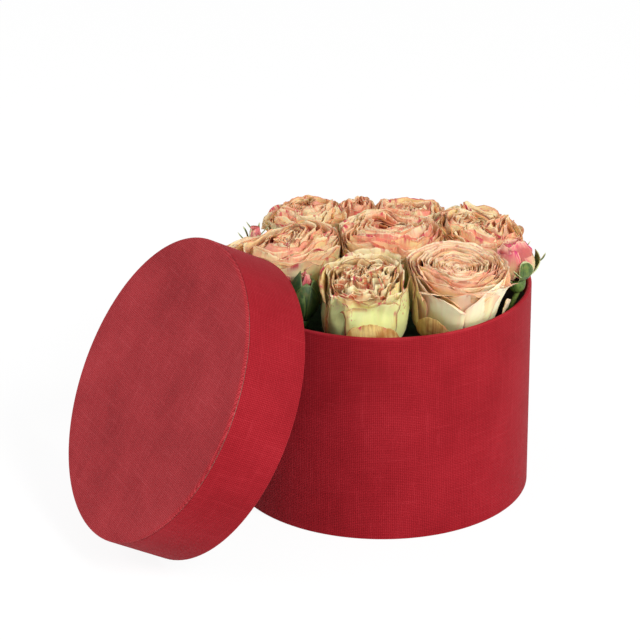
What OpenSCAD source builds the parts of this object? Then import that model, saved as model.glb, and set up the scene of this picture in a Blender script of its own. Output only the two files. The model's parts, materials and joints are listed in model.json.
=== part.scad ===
// Round flower box: a cloth-covered board box with its lid leaning beside it,
// and a lift-out arrangement of roses and buds in floral foam.
// The origin is the middle of the underside; +Z is up and the lid leans at the -X side.

/* [Box] */
// Outside diameter of the box body
box_d = 180; // [165:1:215]
// Outside height of the box body
box_h = 130; // [115:1:160]
// Thickness of the board the wall is rolled from
wall_t = 2; // [1.5:0.1:3]
// Thickness of the base board
base_t = 2; // [1.5:0.1:4]
// Thickness of the covering cloth
cloth_t = 0.3; // [0.2:0.05:0.6]
// Thickness of the lining paper
paper_t = 0.25; // [0.15:0.05:0.4]
// Depth of the cloth turned in at the mouth
turn_in = 15; // [8:1:25]
// Width of the cloth turned under the base
turn_under = 10; // [6:1:20]
// Distance from the wall's outside to the edge of the base cover
cover_inset = 3; // [1.5:0.5:5]

/* [Lid] */
// Outside height of the lid
lid_h = 41; // [30:1:55]
// Thickness of the lid's board
lid_t = 1; // [0.8:0.1:2]
// Gap between the closed lid and the box wall
lid_gap = 0.3; // [0.2:0.05:1]
// Depth of the cloth turned in at the lid's open edge
lid_turn_in = 12; // [6:1:18]
// Radius of the rounded edge between the lid's face and its rim
lid_edge_r = 1.5; // [1.3:0.1:1.8]
// Drop of the face cloth down the rim, below the rounded edge
lid_cover_drop = 0.4; // [0.2:0.1:2]
// Width of the seam between the face cloth and the rim cloth
lid_seam = 0.35; // [0.2:0.05:0.6]
// Angle of the lid's axis above level as it leans
lid_lean = 28.1; // [22:0.1:34]
// Turn of the leaning lid about the upright, toward the front
lid_turn = 24.4; // [10:0.1:35]
// Sideways distance from the lid's centre to the box's centre
lid_side = 31.2; // [20:0.1:40]
// Gap left between the leaning lid and what it leans on
lid_touch = 0.3; // [0.2:0.05:0.8]

/* [Liner and foam] */
// Thickness of the waterproof liner
liner_t = 0.5; // [0.4:0.1:1]
// Gap between the liner and the mouth of the box
liner_gap = 8; // [7:0.5:14]
// Height of the liner's floor above the floor lining
liner_seat = 0.3; // [0.2:0.05:0.6]
// Height of the liner's edge above the foam
liner_stand = 5; // [2:0.5:8]
// Gap between the foam and the liner's wall
foam_gap = 0.3; // [0.2:0.1:2]
// Drop from the rim of the box to the top of the foam
foam_drop = 36; // [32:1:45]
// Bevel round the top edge of the foam
foam_bevel = 5; // [1:0.5:8]

/* [Flowers] */
// Height of a rose head, from its calyx to its top
rose_h = 43; // [38:0.5:45]
// Height of the small rose's head
small_rose_h = 30; // [24:0.5:34]
// Gap between neighbouring flower heads
head_gap = 0.6; // [0.3:0.1:3]
// Thickness of a petal
petal_t = 0.7; // [0.5:0.05:0.9]
// Diameter of a rose stem
stem_d = 5; // [3.5:0.1:6]
// Diameter of a bud's stem
bud_stem_d = 3; // [2:0.1:3.6]
// Gap between a stem and its hole in the foam
stem_gap = 0.2; // [0.1:0.05:0.4]
// Depth of a stem in the foam
stem_depth = 42; // [25:1:55]
// Diameter of a rose's hip, below its petals
hip_d = 11; // [9:0.5:13]
// Height of a rose's hip
hip_h = 9; // [7:0.5:10]
// Reach of a rose's turned-back sepals from the hip
sepal_l = 11; // [6:0.5:14]
// Thickness of a sepal
sepal_t = 0.6; // [0.4:0.1:0.9]

/* [Hidden] */
$fn = 96;
// Film of glue between cloth, paper and board
glue_t = 0.04;
// Open joint where two linings meet
butt_gap = 0.1;
// Room left under the end of a stem in its hole
stem_end_gap = 1;
// Depth of a stem's top in the hip, the room round it, and the hip's wall there
socket_depth = 1.5;
socket_gap = 0.03;
socket_wall = 0.8;

// Box: radii from the outside in, heights from the floor up
box_r = box_d / 2;
board_out_r = box_r - cloth_t - glue_t;
board_in_r = board_out_r - wall_t;
lip_r = wall_t / 2 + glue_t + cloth_t;
mouth_r = box_r - 2 * lip_r;
hem_z = paper_t + glue_t;
board_z = hem_z + cloth_t + glue_t;
floor_z = board_z + base_t;
lining_r = board_in_r - glue_t;
lined_floor_z = floor_z + glue_t + paper_t;

// Lid: the same, in the lid's own frame with its open edge at 0 and its face at lid_h
lid_in_r = box_r + lid_gap;
lid_board_in_r = lid_in_r + cloth_t + glue_t;
lid_board_out_r = lid_board_in_r + lid_t;
lid_r = lid_board_out_r + glue_t + cloth_t;
lid_lip_r = lid_t / 2 + glue_t + cloth_t;
lid_board_top = lid_h - cloth_t - glue_t;
lid_cover_end = lid_h - lid_edge_r - lid_cover_drop;

// Liner and foam
liner_r = mouth_r - liner_gap;
liner_z = lined_floor_z + liner_seat;
foam_r = liner_r - liner_t - foam_gap;
foam_z = liner_z + liner_t + glue_t;
foam_top = box_h - foam_drop;
stem_end_z = foam_top - stem_depth;

// Flowers. Places and widths are shares of the mouth's radius, so the heads fill the box
// at any size. Each row holds: turn about the box, distance out, radius of the head,
// rise of the head's top above the rim as a share of the head's height, lean, direction of
// the lean, turn of its petals, and the distance out of its stem's foot in the foam.
ROSES = [
    [133, 0.757, 0.260, 0.674,  6, 135,  20, 0.64],
    [ 71, 0.621, 0.258, 0.651,  4,  80, 200, 0.54],
    [185, 0.656, 0.368, 0.698,  0,   0, 212, 0.62],
    [349, 0.058, 0.345, 0.837,  0,   0, 250, 0.05],
    [ 18, 0.694, 0.300, 0.721,  5,  20, 300, 0.58],
    [259, 0.664, 0.315, 0.651,  5, 262,  80, 0.57],
    [314, 0.706, 0.312, 0.721, 14, 290, 130, 0.50],
    [101, 0.792, 0.136, 0.767,  0,   0,  40, 0.76]
];
BUDS = [
    [346, 0.920, 0.130, 1.292,  8, 150,  60, 0.60],
    [226, 0.762, 0.090, 0.800,  3,  45, 200, 0.66],
    [157, 0.940, 0.080, 0.909,  7, 170, 100, 0.70]
];
ROSE_PETALS = 10;
SMALL_PETALS = 6;
BUD_PETALS = 4;
SMALL_ROSE = 8;
bud_h = [24, 30, 22];
// Share of a petal's height at which it is widest, and of a head's at which it is placed
widest = 0.85;
anchor = 0.6;
// Drop of the outermost petal's lip below the head's top, as a share of the head's height
crown_drop = 0.14;
// Radius at which the petals join the core, at most this share of the head's radius,
// and the step up from one petal to the next
petal_root_r = 3;
petal_root_share = 0.3;
core_wall = 1.2;
petal_step = 0.9;
// Turn from one petal to the next, and the width of one petal about the head
golden_turn = 137.5;
petal_span = 118;
// Radius of the furled centre, as a share of the head's radius
core_share = 0.36;
sepal_count = 5;
sepal_span = 34;
// Half width of a sepal's tip, and the gap between a bud's petals and its sepals
sepal_tip = 0.4;
sepal_gap = 0.8;
// Share of the sepals' reach that the small rose has
small_sepals = 0.45;

rose_green = "olivedrab";
petal_cream = "#ebcda0";
petal_pink = "#d98a96";
cloth_red = "#a5242f";

// Fields of a flower's row
function turn_of(f) = f[0];
function out_of(f) = f[1] * mouth_r;
function radius_of(f) = f[2] * mouth_r - head_gap / 2;
function top_of(f, h) = box_h + f[3] * h;
function lean_of(f) = f[4];
function lean_dir_of(f) = f[5];
function spin_of(f) = f[6];
function from_axis(f) = [cos(turn_of(f)), sin(turn_of(f))];
function place_of(f) = out_of(f) * from_axis(f);
function anchor_of(f, h) = concat(place_of(f), [top_of(f, h) - (1 - anchor) * h]);
function upright_of(f) = let(a = lean_of(f), b = lean_dir_of(f))
    [sin(a) * cos(b), sin(a) * sin(b), cos(a)];
// Where the stem ends in the foam, and where it meets the foot of the hip
function foot_of(f) = concat(f[7] * mouth_r * from_axis(f), [stem_end_z]);
function neck_of(f, h, hip) = anchor_of(f, h) - (anchor * h + hip) * upright_of(f);

// Points along an arc about c, from angle a to angle b
function arc(c, r, a, b, n = 8) =
    [for (i = [0:n]) c + r * [cos(a + (b - a) * i / n), sin(a + (b - a) * i / n)]];

// A closed band of even thickness t on the left-hand side of an open line of points
function heading(p, i) =
    let(d = p[min(i + 1, len(p) - 1)] - p[max(i - 1, 0)]) d / norm(d);
function band(p, t) = concat(
    p,
    [for (i = [len(p) - 1:-1:0]) let(d = heading(p, i)) p[i] + t * [-d[1], d[0]]]
);

// The leaning lid meets either the left rose, up to the lip of its outer petals, or the wall
// of the box. Each rim point is a turn from the top of the lid's open edge; its reach is how
// far the lid could stand off the box's axis, along the lean, before that point touched.
left_rose = ROSES[2];
left_lip_z = top_of(left_rose, rose_h) - crown_drop * rose_h;
lean_dir = [cos(lid_turn), sin(lid_turn)];
side_dir = [-sin(lid_turn), cos(lid_turn)];
rose_along = place_of(left_rose) * lean_dir;
rose_across = place_of(left_rose) * side_dir;
function rim_across(a) = -lid_side + lid_r * sin(a);
function rim_along(a) = lid_r * sin(lid_lean) * cos(a);
function rim_z(a) = lid_r * cos(lid_lean) * (1 + cos(a));
function stop_at(a, along, across, r) =
    let(off = rim_across(a) - across)
    abs(off) < r ? along - rim_along(a) - sqrt(r * r - off * off) : 0;
lid_reach = min([for (a = [-90:0.5:90]) if (rim_z(a) < left_lip_z)
    rim_z(a) > box_h
        ? stop_at(a, rose_along, rose_across, radius_of(left_rose) + lid_touch)
        : stop_at(a, 0, 0, box_r + lid_touch)]);
lid_centre = concat(lid_reach * lean_dir - lid_side * side_dir, [lid_r * cos(lid_lean)]);

// ---- Box ----

// Paper disc on the underside, which the box stands on
module base_cover() color("firebrick") cylinder(r = box_r - cover_inset, h = paper_t);

// Disc set inside the foot of the wall
module base_board() color("tan")
    translate([0, 0, board_z]) cylinder(r = board_in_r - glue_t, h = base_t);

// Rolled board tube with a rounded top edge
module wall_board() color("tan") rotate_extrude() polygon(concat(
    [[board_in_r, board_z], [board_out_r, board_z]],
    arc([box_r - lip_r, box_h - lip_r], wall_t / 2, 0, 180)
));

// Cloth from under the base, up the wall, over the rim and down inside
module wall_wrap() color(cloth_red) rotate_extrude() polygon(concat(
    [[box_r - turn_under, hem_z], [box_r, hem_z]],
    arc([box_r - lip_r, box_h - lip_r], lip_r, 0, 180),
    [[mouth_r, box_h - turn_in], [mouth_r + cloth_t, box_h - turn_in]],
    arc([box_r - lip_r, box_h - lip_r], lip_r - cloth_t, 180, 0),
    [[box_r - cloth_t, hem_z + cloth_t], [box_r - turn_under, hem_z + cloth_t]]
));

// Paper inside the wall, from the base board to the turned-in cloth
module wall_lining() color("dimgray") translate([0, 0, floor_z]) difference() {
    cylinder(r = lining_r, h = box_h - turn_in - butt_gap - floor_z);
    translate([0, 0, -1]) cylinder(r = lining_r - paper_t, h = box_h);
}

// Paper disc on the base board
module floor_lining() color("dimgray")
    translate([0, 0, floor_z + glue_t]) cylinder(r = lining_r - paper_t - butt_gap, h = paper_t);

// ---- Lid ----

// Stands the lid on its open edge, leaning toward the box
module leaning() translate(lid_centre) rotate([0, 90 - lid_lean, 180 + lid_turn]) children();

// Disc set inside the top of the rim
module lid_board() color("tan") leaning()
    translate([0, 0, lid_board_top - lid_t]) cylinder(r = lid_board_in_r - glue_t, h = lid_t);

// Board ring, rounded at its open edge and at the corner under the face cloth
module lid_rim_board() color("tan") leaning() rotate_extrude() polygon(concat(
    arc([lid_board_in_r + lid_t / 2, lid_lip_r], lid_t / 2, -180, 0),
    arc([lid_r - lid_edge_r, lid_h - lid_edge_r], lid_edge_r - cloth_t - glue_t, 0, 60),
    [[lid_board_in_r, lid_board_top]]
));

// Face cloth, rounded over the corner
module lid_face_cover() color(cloth_red) leaning() rotate_extrude() polygon(concat(
    [[0, lid_h - cloth_t]],
    arc([lid_r - lid_edge_r, lid_h - lid_edge_r], lid_edge_r - cloth_t, 90, 0),
    [[lid_r - cloth_t, lid_cover_end], [lid_r, lid_cover_end]],
    arc([lid_r - lid_edge_r, lid_h - lid_edge_r], lid_edge_r, 0, 90),
    [[0, lid_h]]
));

// Rim cloth, from the seam down to the open edge, round it and up inside
module lid_rim_wrap() color(cloth_red) leaning() rotate_extrude() polygon(concat(
    [[lid_r - cloth_t, lid_cover_end - lid_seam], [lid_r, lid_cover_end - lid_seam]],
    arc([lid_r - lid_lip_r, lid_lip_r], lid_lip_r, 0, -180),
    [[lid_in_r, lid_turn_in], [lid_in_r + cloth_t, lid_turn_in]],
    arc([lid_r - lid_lip_r, lid_lip_r], lid_lip_r - cloth_t, -180, 0)
));

// Paper inside the rim, above the turned-in cloth
module lid_rim_lining() color("dimgray") leaning() translate([0, 0, lid_turn_in + butt_gap])
    difference() {
        cylinder(r = lid_board_in_r - glue_t,
                 h = lid_board_top - lid_t - glue_t - lid_turn_in - butt_gap);
        translate([0, 0, -1]) cylinder(r = lid_board_in_r - glue_t - paper_t, h = lid_h);
    }

// Paper disc under the lid board
module lid_ceiling_lining() color("dimgray") leaning()
    translate([0, 0, lid_board_top - lid_t - glue_t - paper_t])
        cylinder(r = lid_board_in_r - glue_t - paper_t - butt_gap, h = paper_t);

// ---- Liner and foam ----

// Thin waterproof tray round the foam
module liner() color("#202020") difference() {
    translate([0, 0, liner_z]) cylinder(r = liner_r, h = foam_top + liner_stand - liner_z);
    translate([0, 0, liner_z + liner_t]) cylinder(r = liner_r - liner_t, h = box_h);
}

// Foam block with a bevelled top edge and one hole for each stem
module floral_foam() color("darkolivegreen") difference() {
    rotate_extrude() polygon([
        [0, foam_z], [foam_r, foam_z], [foam_r, foam_top - foam_bevel],
        [foam_r - foam_bevel, foam_top], [0, foam_top]
    ]);
    for (i = [0:len(ROSES) - 1])
        stem_shape(ROSES[i], head_h(i), hip_h, stem_d / 2 + stem_gap, stem_end_gap);
    for (i = [0:len(BUDS) - 1])
        stem_shape(BUDS[i], bud_h[i], bud_hip_h(i), bud_stem_d / 2 + stem_gap, stem_end_gap);
}

// ---- Flowers, each in its own frame: the petals' base is at 0 and the stem runs down ----

function head_h(i) = i == SMALL_ROSE - 1 ? small_rose_h : rose_h;
function head_petals(i) = i == SMALL_ROSE - 1 ? SMALL_PETALS : ROSE_PETALS;
function bud_hip_r(i) = radius_of(BUDS[i]) * 0.5;
function bud_hip_h(i) = bud_hip_r(i) * 1.3;

module flower_frame(f, h) translate(anchor_of(f, h))
    rotate([0, lean_of(f), lean_dir_of(f)]) translate([0, 0, -anchor * h]) children();

// Straight stem in the box's frame, from its foot to just inside the hip
module stem_shape(f, h, hip, r, past_foot = 0, past_neck = 0) {
    foot = foot_of(f);
    run = neck_of(f, h, hip) - foot;
    translate(foot) rotate([0, acos(run[2] / norm(run)), atan2(run[1], run[0])])
        rotate([0, 0, 90]) translate([0, 0, -past_foot])
            cylinder(r = r, h = norm(run) + past_foot + socket_depth + past_neck);
}

// Side view of a cupped line, from its root to its widest
function cup_line(root, r, z0, z1) =
    [for (a = [0:15:90]) [root + (r - root) * sin(a), z0 + (z1 - z0) * (1 - cos(a))]];

// Side view of one petal: a cupped line that draws in a little at the lip
function petal_line(root, r, z0, z1) =
    let(wide_z = z0 + widest * (z1 - z0))
    concat(cup_line(root, r, z0, wide_z), [[r * 0.997, (wide_z + z1) / 2], [r * 0.985, z1]]);
function root_of(r) = min(petal_root_r, petal_root_share * r);

// One petal: part of a turned cup, cut to a rounded outline
module petal(root, r, z0, z1) {
    half_w = r * 0.86;
    intersection() {
        rotate([0, 0, -petal_span / 2])
            rotate_extrude(angle = petal_span)
                polygon(band(petal_line(root, r, z0, z1), petal_t));
        rotate([90, 0, 90]) linear_extrude(height = r + 1) union() {
            translate([0, z1 - half_w]) circle(r = half_w);
            translate([-half_w, z0 - 1]) square([2 * half_w, max(z1 - half_w - z0 + 1, 1)]);
        }
    }
}

// Furled centre on the core that all petals join
module furled_core(r, h, n) {
    root_r = root_of(r) + core_wall;
    root_h = (n + 1) * petal_step;
    core_r = r * core_share;
    rotate_extrude() polygon(concat(
        [[0, 0], [root_r, 0], [root_r, root_h]],
        [for (a = [30:15:90])
            [core_r * sin(a), root_h + (0.62 * h - root_h) * (1 - cos(a))]],
        [for (a = [15:15:75])
            [core_r * (0.55 + 0.45 * cos(a)), 0.62 * h + 0.3 * h * sin(a)]],
        [[0, 0.92 * h]]
    ));
}

// Head of nested petals, each set further out and lower than the last
module head(r, h, n, spin) {
    furled_core(r, h, n);
    inner = core_share + 0.1;
    for (i = [1:n]) {
        share = i / n;
        rotate([0, 0, spin + golden_turn * (i - n)])
            petal(root_of(r), r * (inner + (1 - inner) * share), (n + 1 - i) * petal_step,
                  h * (1 - crown_drop * share * share));
    }
}

// Hip and turned-back sepals under a rose head
module open_calyx(reach) {
    collar_r = stem_d / 2 + socket_wall;
    rotate_extrude() polygon(concat(
        [[0, 0]],
        arc([hip_d / 2 - 1, -1], 1, 90, 0, 3),
        [for (a = [15:15:90])
            [collar_r + (hip_d / 2 - collar_r) * cos(a), -1 - (hip_h - 1) * sin(a)]],
        [[0, -hip_h]]
    ));
    for (i = [0:sepal_count - 1]) rotate([0, 0, 360 / sepal_count * i]) intersection() {
        rotate([0, 0, -sepal_span]) rotate_extrude(angle = 2 * sepal_span)
            polygon(band(arc([hip_d / 2 - 1, -1 - reach], reach, 90, 15, 6), -sepal_t));
        translate([0, 0, -hip_h - reach]) linear_extrude(height = hip_h + reach)
            polygon([[0, -hip_d / 2], [hip_d / 2 + reach, -sepal_tip],
                     [hip_d / 2 + reach, sepal_tip], [0, hip_d / 2]]);
    }
}

// Hip and upright sepals hugging a bud, which reach share cover of its height
module closed_calyx(r, h, hip_r, hip, cover) {
    hug_r = r + sepal_gap + sepal_t;
    collar_r = bud_stem_d / 2 + socket_wall;
    half_w = hug_r * 0.56;
    rotate_extrude() polygon(concat(
        [[0, 0], [hip_r, 0]],
        [for (a = [15:15:90])
            [collar_r + (hip_r - collar_r) * cos(a), -hip * sin(a)]],
        [[0, -hip]]
    ));
    for (i = [0:sepal_count - 1]) rotate([0, 0, 360 / sepal_count * i]) intersection() {
        rotate([0, 0, -sepal_span]) rotate_extrude(angle = 2 * sepal_span)
            polygon(band(cup_line(root_of(r), hug_r, -sepal_gap - sepal_t,
                                  widest * (1 - crown_drop) * h), sepal_t));
        rotate([90, 0, 90]) linear_extrude(height = hug_r + 1)
            polygon([[-half_w, -hip], [half_w, -hip], [half_w, cover * h * 0.4],
                     [sepal_tip, cover * h], [-sepal_tip, cover * h], [-half_w, cover * h * 0.4]]);
    }
}

// Share of each bud's height that its sepals cover
bud_cover = [0.5, 0.78, 0.7];

module rose_stem(i) color(rose_green) stem_shape(ROSES[i], head_h(i), hip_h, stem_d / 2);
module rose_calyx(i) color(rose_green) difference() {
    flower_frame(ROSES[i], head_h(i)) open_calyx(sepal_l * (i == SMALL_ROSE - 1 ? small_sepals : 1));
    stem_shape(ROSES[i], head_h(i), hip_h, stem_d / 2 + socket_gap, 0, socket_gap);
}
module rose_petals(i) color(petal_cream) flower_frame(ROSES[i], head_h(i))
    head(radius_of(ROSES[i]), head_h(i), head_petals(i), spin_of(ROSES[i]));

module bud_stem(i) color(rose_green)
    stem_shape(BUDS[i], bud_h[i], bud_hip_h(i), bud_stem_d / 2);
module bud_calyx(i) color(rose_green) difference() {
    flower_frame(BUDS[i], bud_h[i])
        closed_calyx(radius_of(BUDS[i]), bud_h[i], bud_hip_r(i), bud_hip_h(i), bud_cover[i]);
    stem_shape(BUDS[i], bud_h[i], bud_hip_h(i), bud_stem_d / 2 + socket_gap, 0, socket_gap);
}
module bud_petals(i) color(petal_pink) flower_frame(BUDS[i], bud_h[i])
    head(radius_of(BUDS[i]), bud_h[i], BUD_PETALS, spin_of(BUDS[i]));

base_cover();
base_board();
wall_board();
wall_wrap();
wall_lining();
floor_lining();
lid_board();
lid_rim_board();
lid_face_cover();
lid_rim_wrap();
lid_rim_lining();
lid_ceiling_lining();
liner();
floral_foam();
for (i = [0:len(ROSES) - 1]) {
    rose_stem(i);
    rose_calyx(i);
    rose_petals(i);
}
for (i = [0:len(BUDS) - 1]) {
    bud_stem(i);
    bud_calyx(i);
    bud_petals(i);
}
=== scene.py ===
import json
import logging
import math
from dataclasses import dataclass, replace
from enum import Enum

import bpy
import numpy as np
from mathutils import Euler, Matrix, Vector

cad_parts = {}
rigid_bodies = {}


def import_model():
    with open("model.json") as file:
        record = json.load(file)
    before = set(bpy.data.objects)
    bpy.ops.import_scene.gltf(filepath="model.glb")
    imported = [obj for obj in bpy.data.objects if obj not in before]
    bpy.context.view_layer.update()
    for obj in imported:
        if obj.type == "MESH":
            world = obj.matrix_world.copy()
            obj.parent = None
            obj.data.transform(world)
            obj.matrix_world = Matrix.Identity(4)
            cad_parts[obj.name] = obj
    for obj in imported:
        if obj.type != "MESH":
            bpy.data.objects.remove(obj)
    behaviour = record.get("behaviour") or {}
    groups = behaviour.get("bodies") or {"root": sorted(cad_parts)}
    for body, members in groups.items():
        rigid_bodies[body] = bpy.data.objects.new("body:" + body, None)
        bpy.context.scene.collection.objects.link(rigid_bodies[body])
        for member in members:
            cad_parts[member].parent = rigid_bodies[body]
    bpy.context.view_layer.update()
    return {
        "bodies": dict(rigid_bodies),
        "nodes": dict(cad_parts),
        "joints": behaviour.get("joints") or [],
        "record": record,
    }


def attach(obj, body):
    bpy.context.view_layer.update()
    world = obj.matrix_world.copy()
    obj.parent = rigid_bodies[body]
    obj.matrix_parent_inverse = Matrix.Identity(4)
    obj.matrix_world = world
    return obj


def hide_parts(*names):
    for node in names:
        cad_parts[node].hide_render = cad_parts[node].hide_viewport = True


log = logging.getLogger("flower_box")
MM = 0.001
Colour = tuple[float, float, float, float]
Socket = bpy.types.NodeSocket


def tint(red: float, green: float, blue: float) -> Colour:
    """Turns a colour as seen, 0 to 255, into the linear colour that a shader takes.

    Each channel c becomes (c / 12.92) below 0.04045 and ((c + 0.055) / 1.055) ** 2.4 above.

    Args:
        red: Red, 0 to 255.
        green: Green, 0 to 255.
        blue: Blue, 0 to 255.

    Returns:
        Linear red, green and blue with an alpha of 1.
    """
    seen = (c / 255.0 for c in (red, green, blue))
    linear = [c / 12.92 if c <= 0.04045 else ((c + 0.055) / 1.055) ** 2.4 for c in seen]
    return (linear[0], linear[1], linear[2], 1.0)


def ease(value: np.ndarray, low: float, high: float) -> np.ndarray:
    """Rises smoothly from 0 at low to 1 at high: t * t * (3 - 2 t).

    Args:
        value: Where to look.
        low: The value at which the rise starts.
        high: The value at which it ends.

    Returns:
        The eased share, 0 to 1.
    """
    t = np.clip((value - low) / (high - low), 0.0, 1.0)
    return t * t * (3.0 - 2.0 * t)


def turn_matrix(lean: float, toward: float) -> np.ndarray:
    """Gives the turn of something that leans by an angle toward a direction.

    It is a turn about Y by the lean, then about Z by the direction.

    Args:
        lean: Angle off the upright, in degrees.
        toward: Direction of the lean about the upright, in degrees.

    Returns:
        A 3 by 3 matrix.
    """
    return np.array(Euler((0.0, math.radians(lean), math.radians(toward))).to_matrix())


# ---------------------------------------------------------------- meshes


def make_mesh(
    name: str,
    points: np.ndarray,
    faces: np.ndarray,
    uv: np.ndarray | None = None,
    marks: dict[str, np.ndarray] | None = None,
) -> bpy.types.Object:
    """Puts whole arrays of points and four-sided faces into a new object.

    Args:
        name: Name of the piece.
        points: Points, n by 3, in metres.
        faces: Point numbers, m by 4, in order round each face seen from outside.
        uv: Place of each point on the flat pattern, n by 2.
        marks: One number for each point, by the name of the mark.

    Returns:
        The object, at the origin and smooth shaded.
    """
    mesh = bpy.data.meshes.new(name)
    mesh.vertices.add(len(points))
    mesh.vertices.foreach_set("co", points.astype(np.float32).ravel())
    mesh.loops.add(faces.size)
    mesh.loops.foreach_set("vertex_index", faces.astype(np.int32).ravel())
    mesh.polygons.add(len(faces))
    mesh.polygons.foreach_set("loop_start", np.arange(0, faces.size, 4, dtype=np.int32))
    mesh.polygons.foreach_set("use_smooth", np.ones(len(faces), dtype=bool))
    if uv is not None:
        layer = mesh.uv_layers.new(name="pattern")
        layer.uv.foreach_set("vector", uv[faces.ravel()].astype(np.float32).ravel())
    for mark, values in (marks or {}).items():
        held = mesh.attributes.new(mark, "FLOAT", "POINT")
        held.data.foreach_set("value", values.astype(np.float32).ravel())
    mesh.update()
    mesh.validate()
    piece = bpy.data.objects.new(name, mesh)
    bpy.context.scene.collection.objects.link(piece)
    return piece


def sheet_normals(grid: np.ndarray) -> np.ndarray:
    """Works out the direction that each point of a family of sheets faces.

    It is the cross product of the steps across and along the sheet, at unit length.

    Args:
        grid: Points, sheets by rows by columns by 3.

    Returns:
        Unit normals of the same shape.
    """
    normal = np.cross(np.gradient(grid, axis=2), np.gradient(grid, axis=1))
    return normal / np.maximum(np.linalg.norm(normal, axis=3, keepdims=True), 1e-12)


def thicken(grid: np.ndarray, thickness: np.ndarray) -> tuple[np.ndarray, np.ndarray]:
    """Gives each sheet of a family an outer and an inner face and closes its edges.

    The faces lie half the thickness to each side along the sheet's own normal.

    Args:
        grid: Points, sheets by rows by columns by 3.
        thickness: Thickness at each point, sheets by rows by columns.

    Returns:
        Points, all outer faces before all inner faces, and four-sided faces.
    """
    sheets, rows, columns, _ = grid.shape
    half = sheet_normals(grid) * thickness[..., None] / 2.0
    points = np.concatenate([(grid + half).reshape(-1, 3), (grid - half).reshape(-1, 3)])
    number = np.arange(sheets * rows * columns).reshape(sheets, rows, columns)
    low_left, low_right = number[:, :-1, :-1], number[:, :-1, 1:]
    high_left, high_right = number[:, 1:, :-1], number[:, 1:, 1:]
    outer = np.stack([low_left, low_right, high_right, high_left], axis=-1).reshape(-1, 4)
    shift = number.size
    rim = np.concatenate(
        [number[:, 0, :], number[:, 1:, -1], number[:, -1, -2::-1], number[:, -2::-1, 0]], axis=1
    )
    start, end = rim[:, :-1].ravel(), rim[:, 1:].ravel()
    edge = np.stack([start, start + shift, end + shift, end], axis=-1)
    return points, np.concatenate([outer, outer[:, ::-1] + shift, edge])


def turned(profile: np.ndarray, steps: int) -> tuple[np.ndarray, np.ndarray]:
    """Turns a closed profile about the upright: x = r cos a, y = r sin a, z = z.

    Args:
        profile: Radius and height of each point, anticlockwise in that plane, n by 2.
        steps: Number of steps round.

    Returns:
        Points and four-sided faces that point outwards.
    """
    angle = np.arange(steps)[:, None] * 2.0 * math.pi / steps
    radius, height = profile[None, :, 0], profile[None, :, 1]
    points = np.stack(
        [radius * np.cos(angle), radius * np.sin(angle), height + 0.0 * angle], axis=-1
    ).reshape(-1, 3)
    number = np.arange(len(points)).reshape(steps, -1)
    here, onward = number, np.roll(number, -1, axis=0)
    faces = np.stack(
        [here, onward, np.roll(onward, -1, axis=1), np.roll(here, -1, axis=1)], axis=-1
    )
    return points, faces.reshape(-1, 4)


# ---------------------------------------------------------------- finishes


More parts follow.
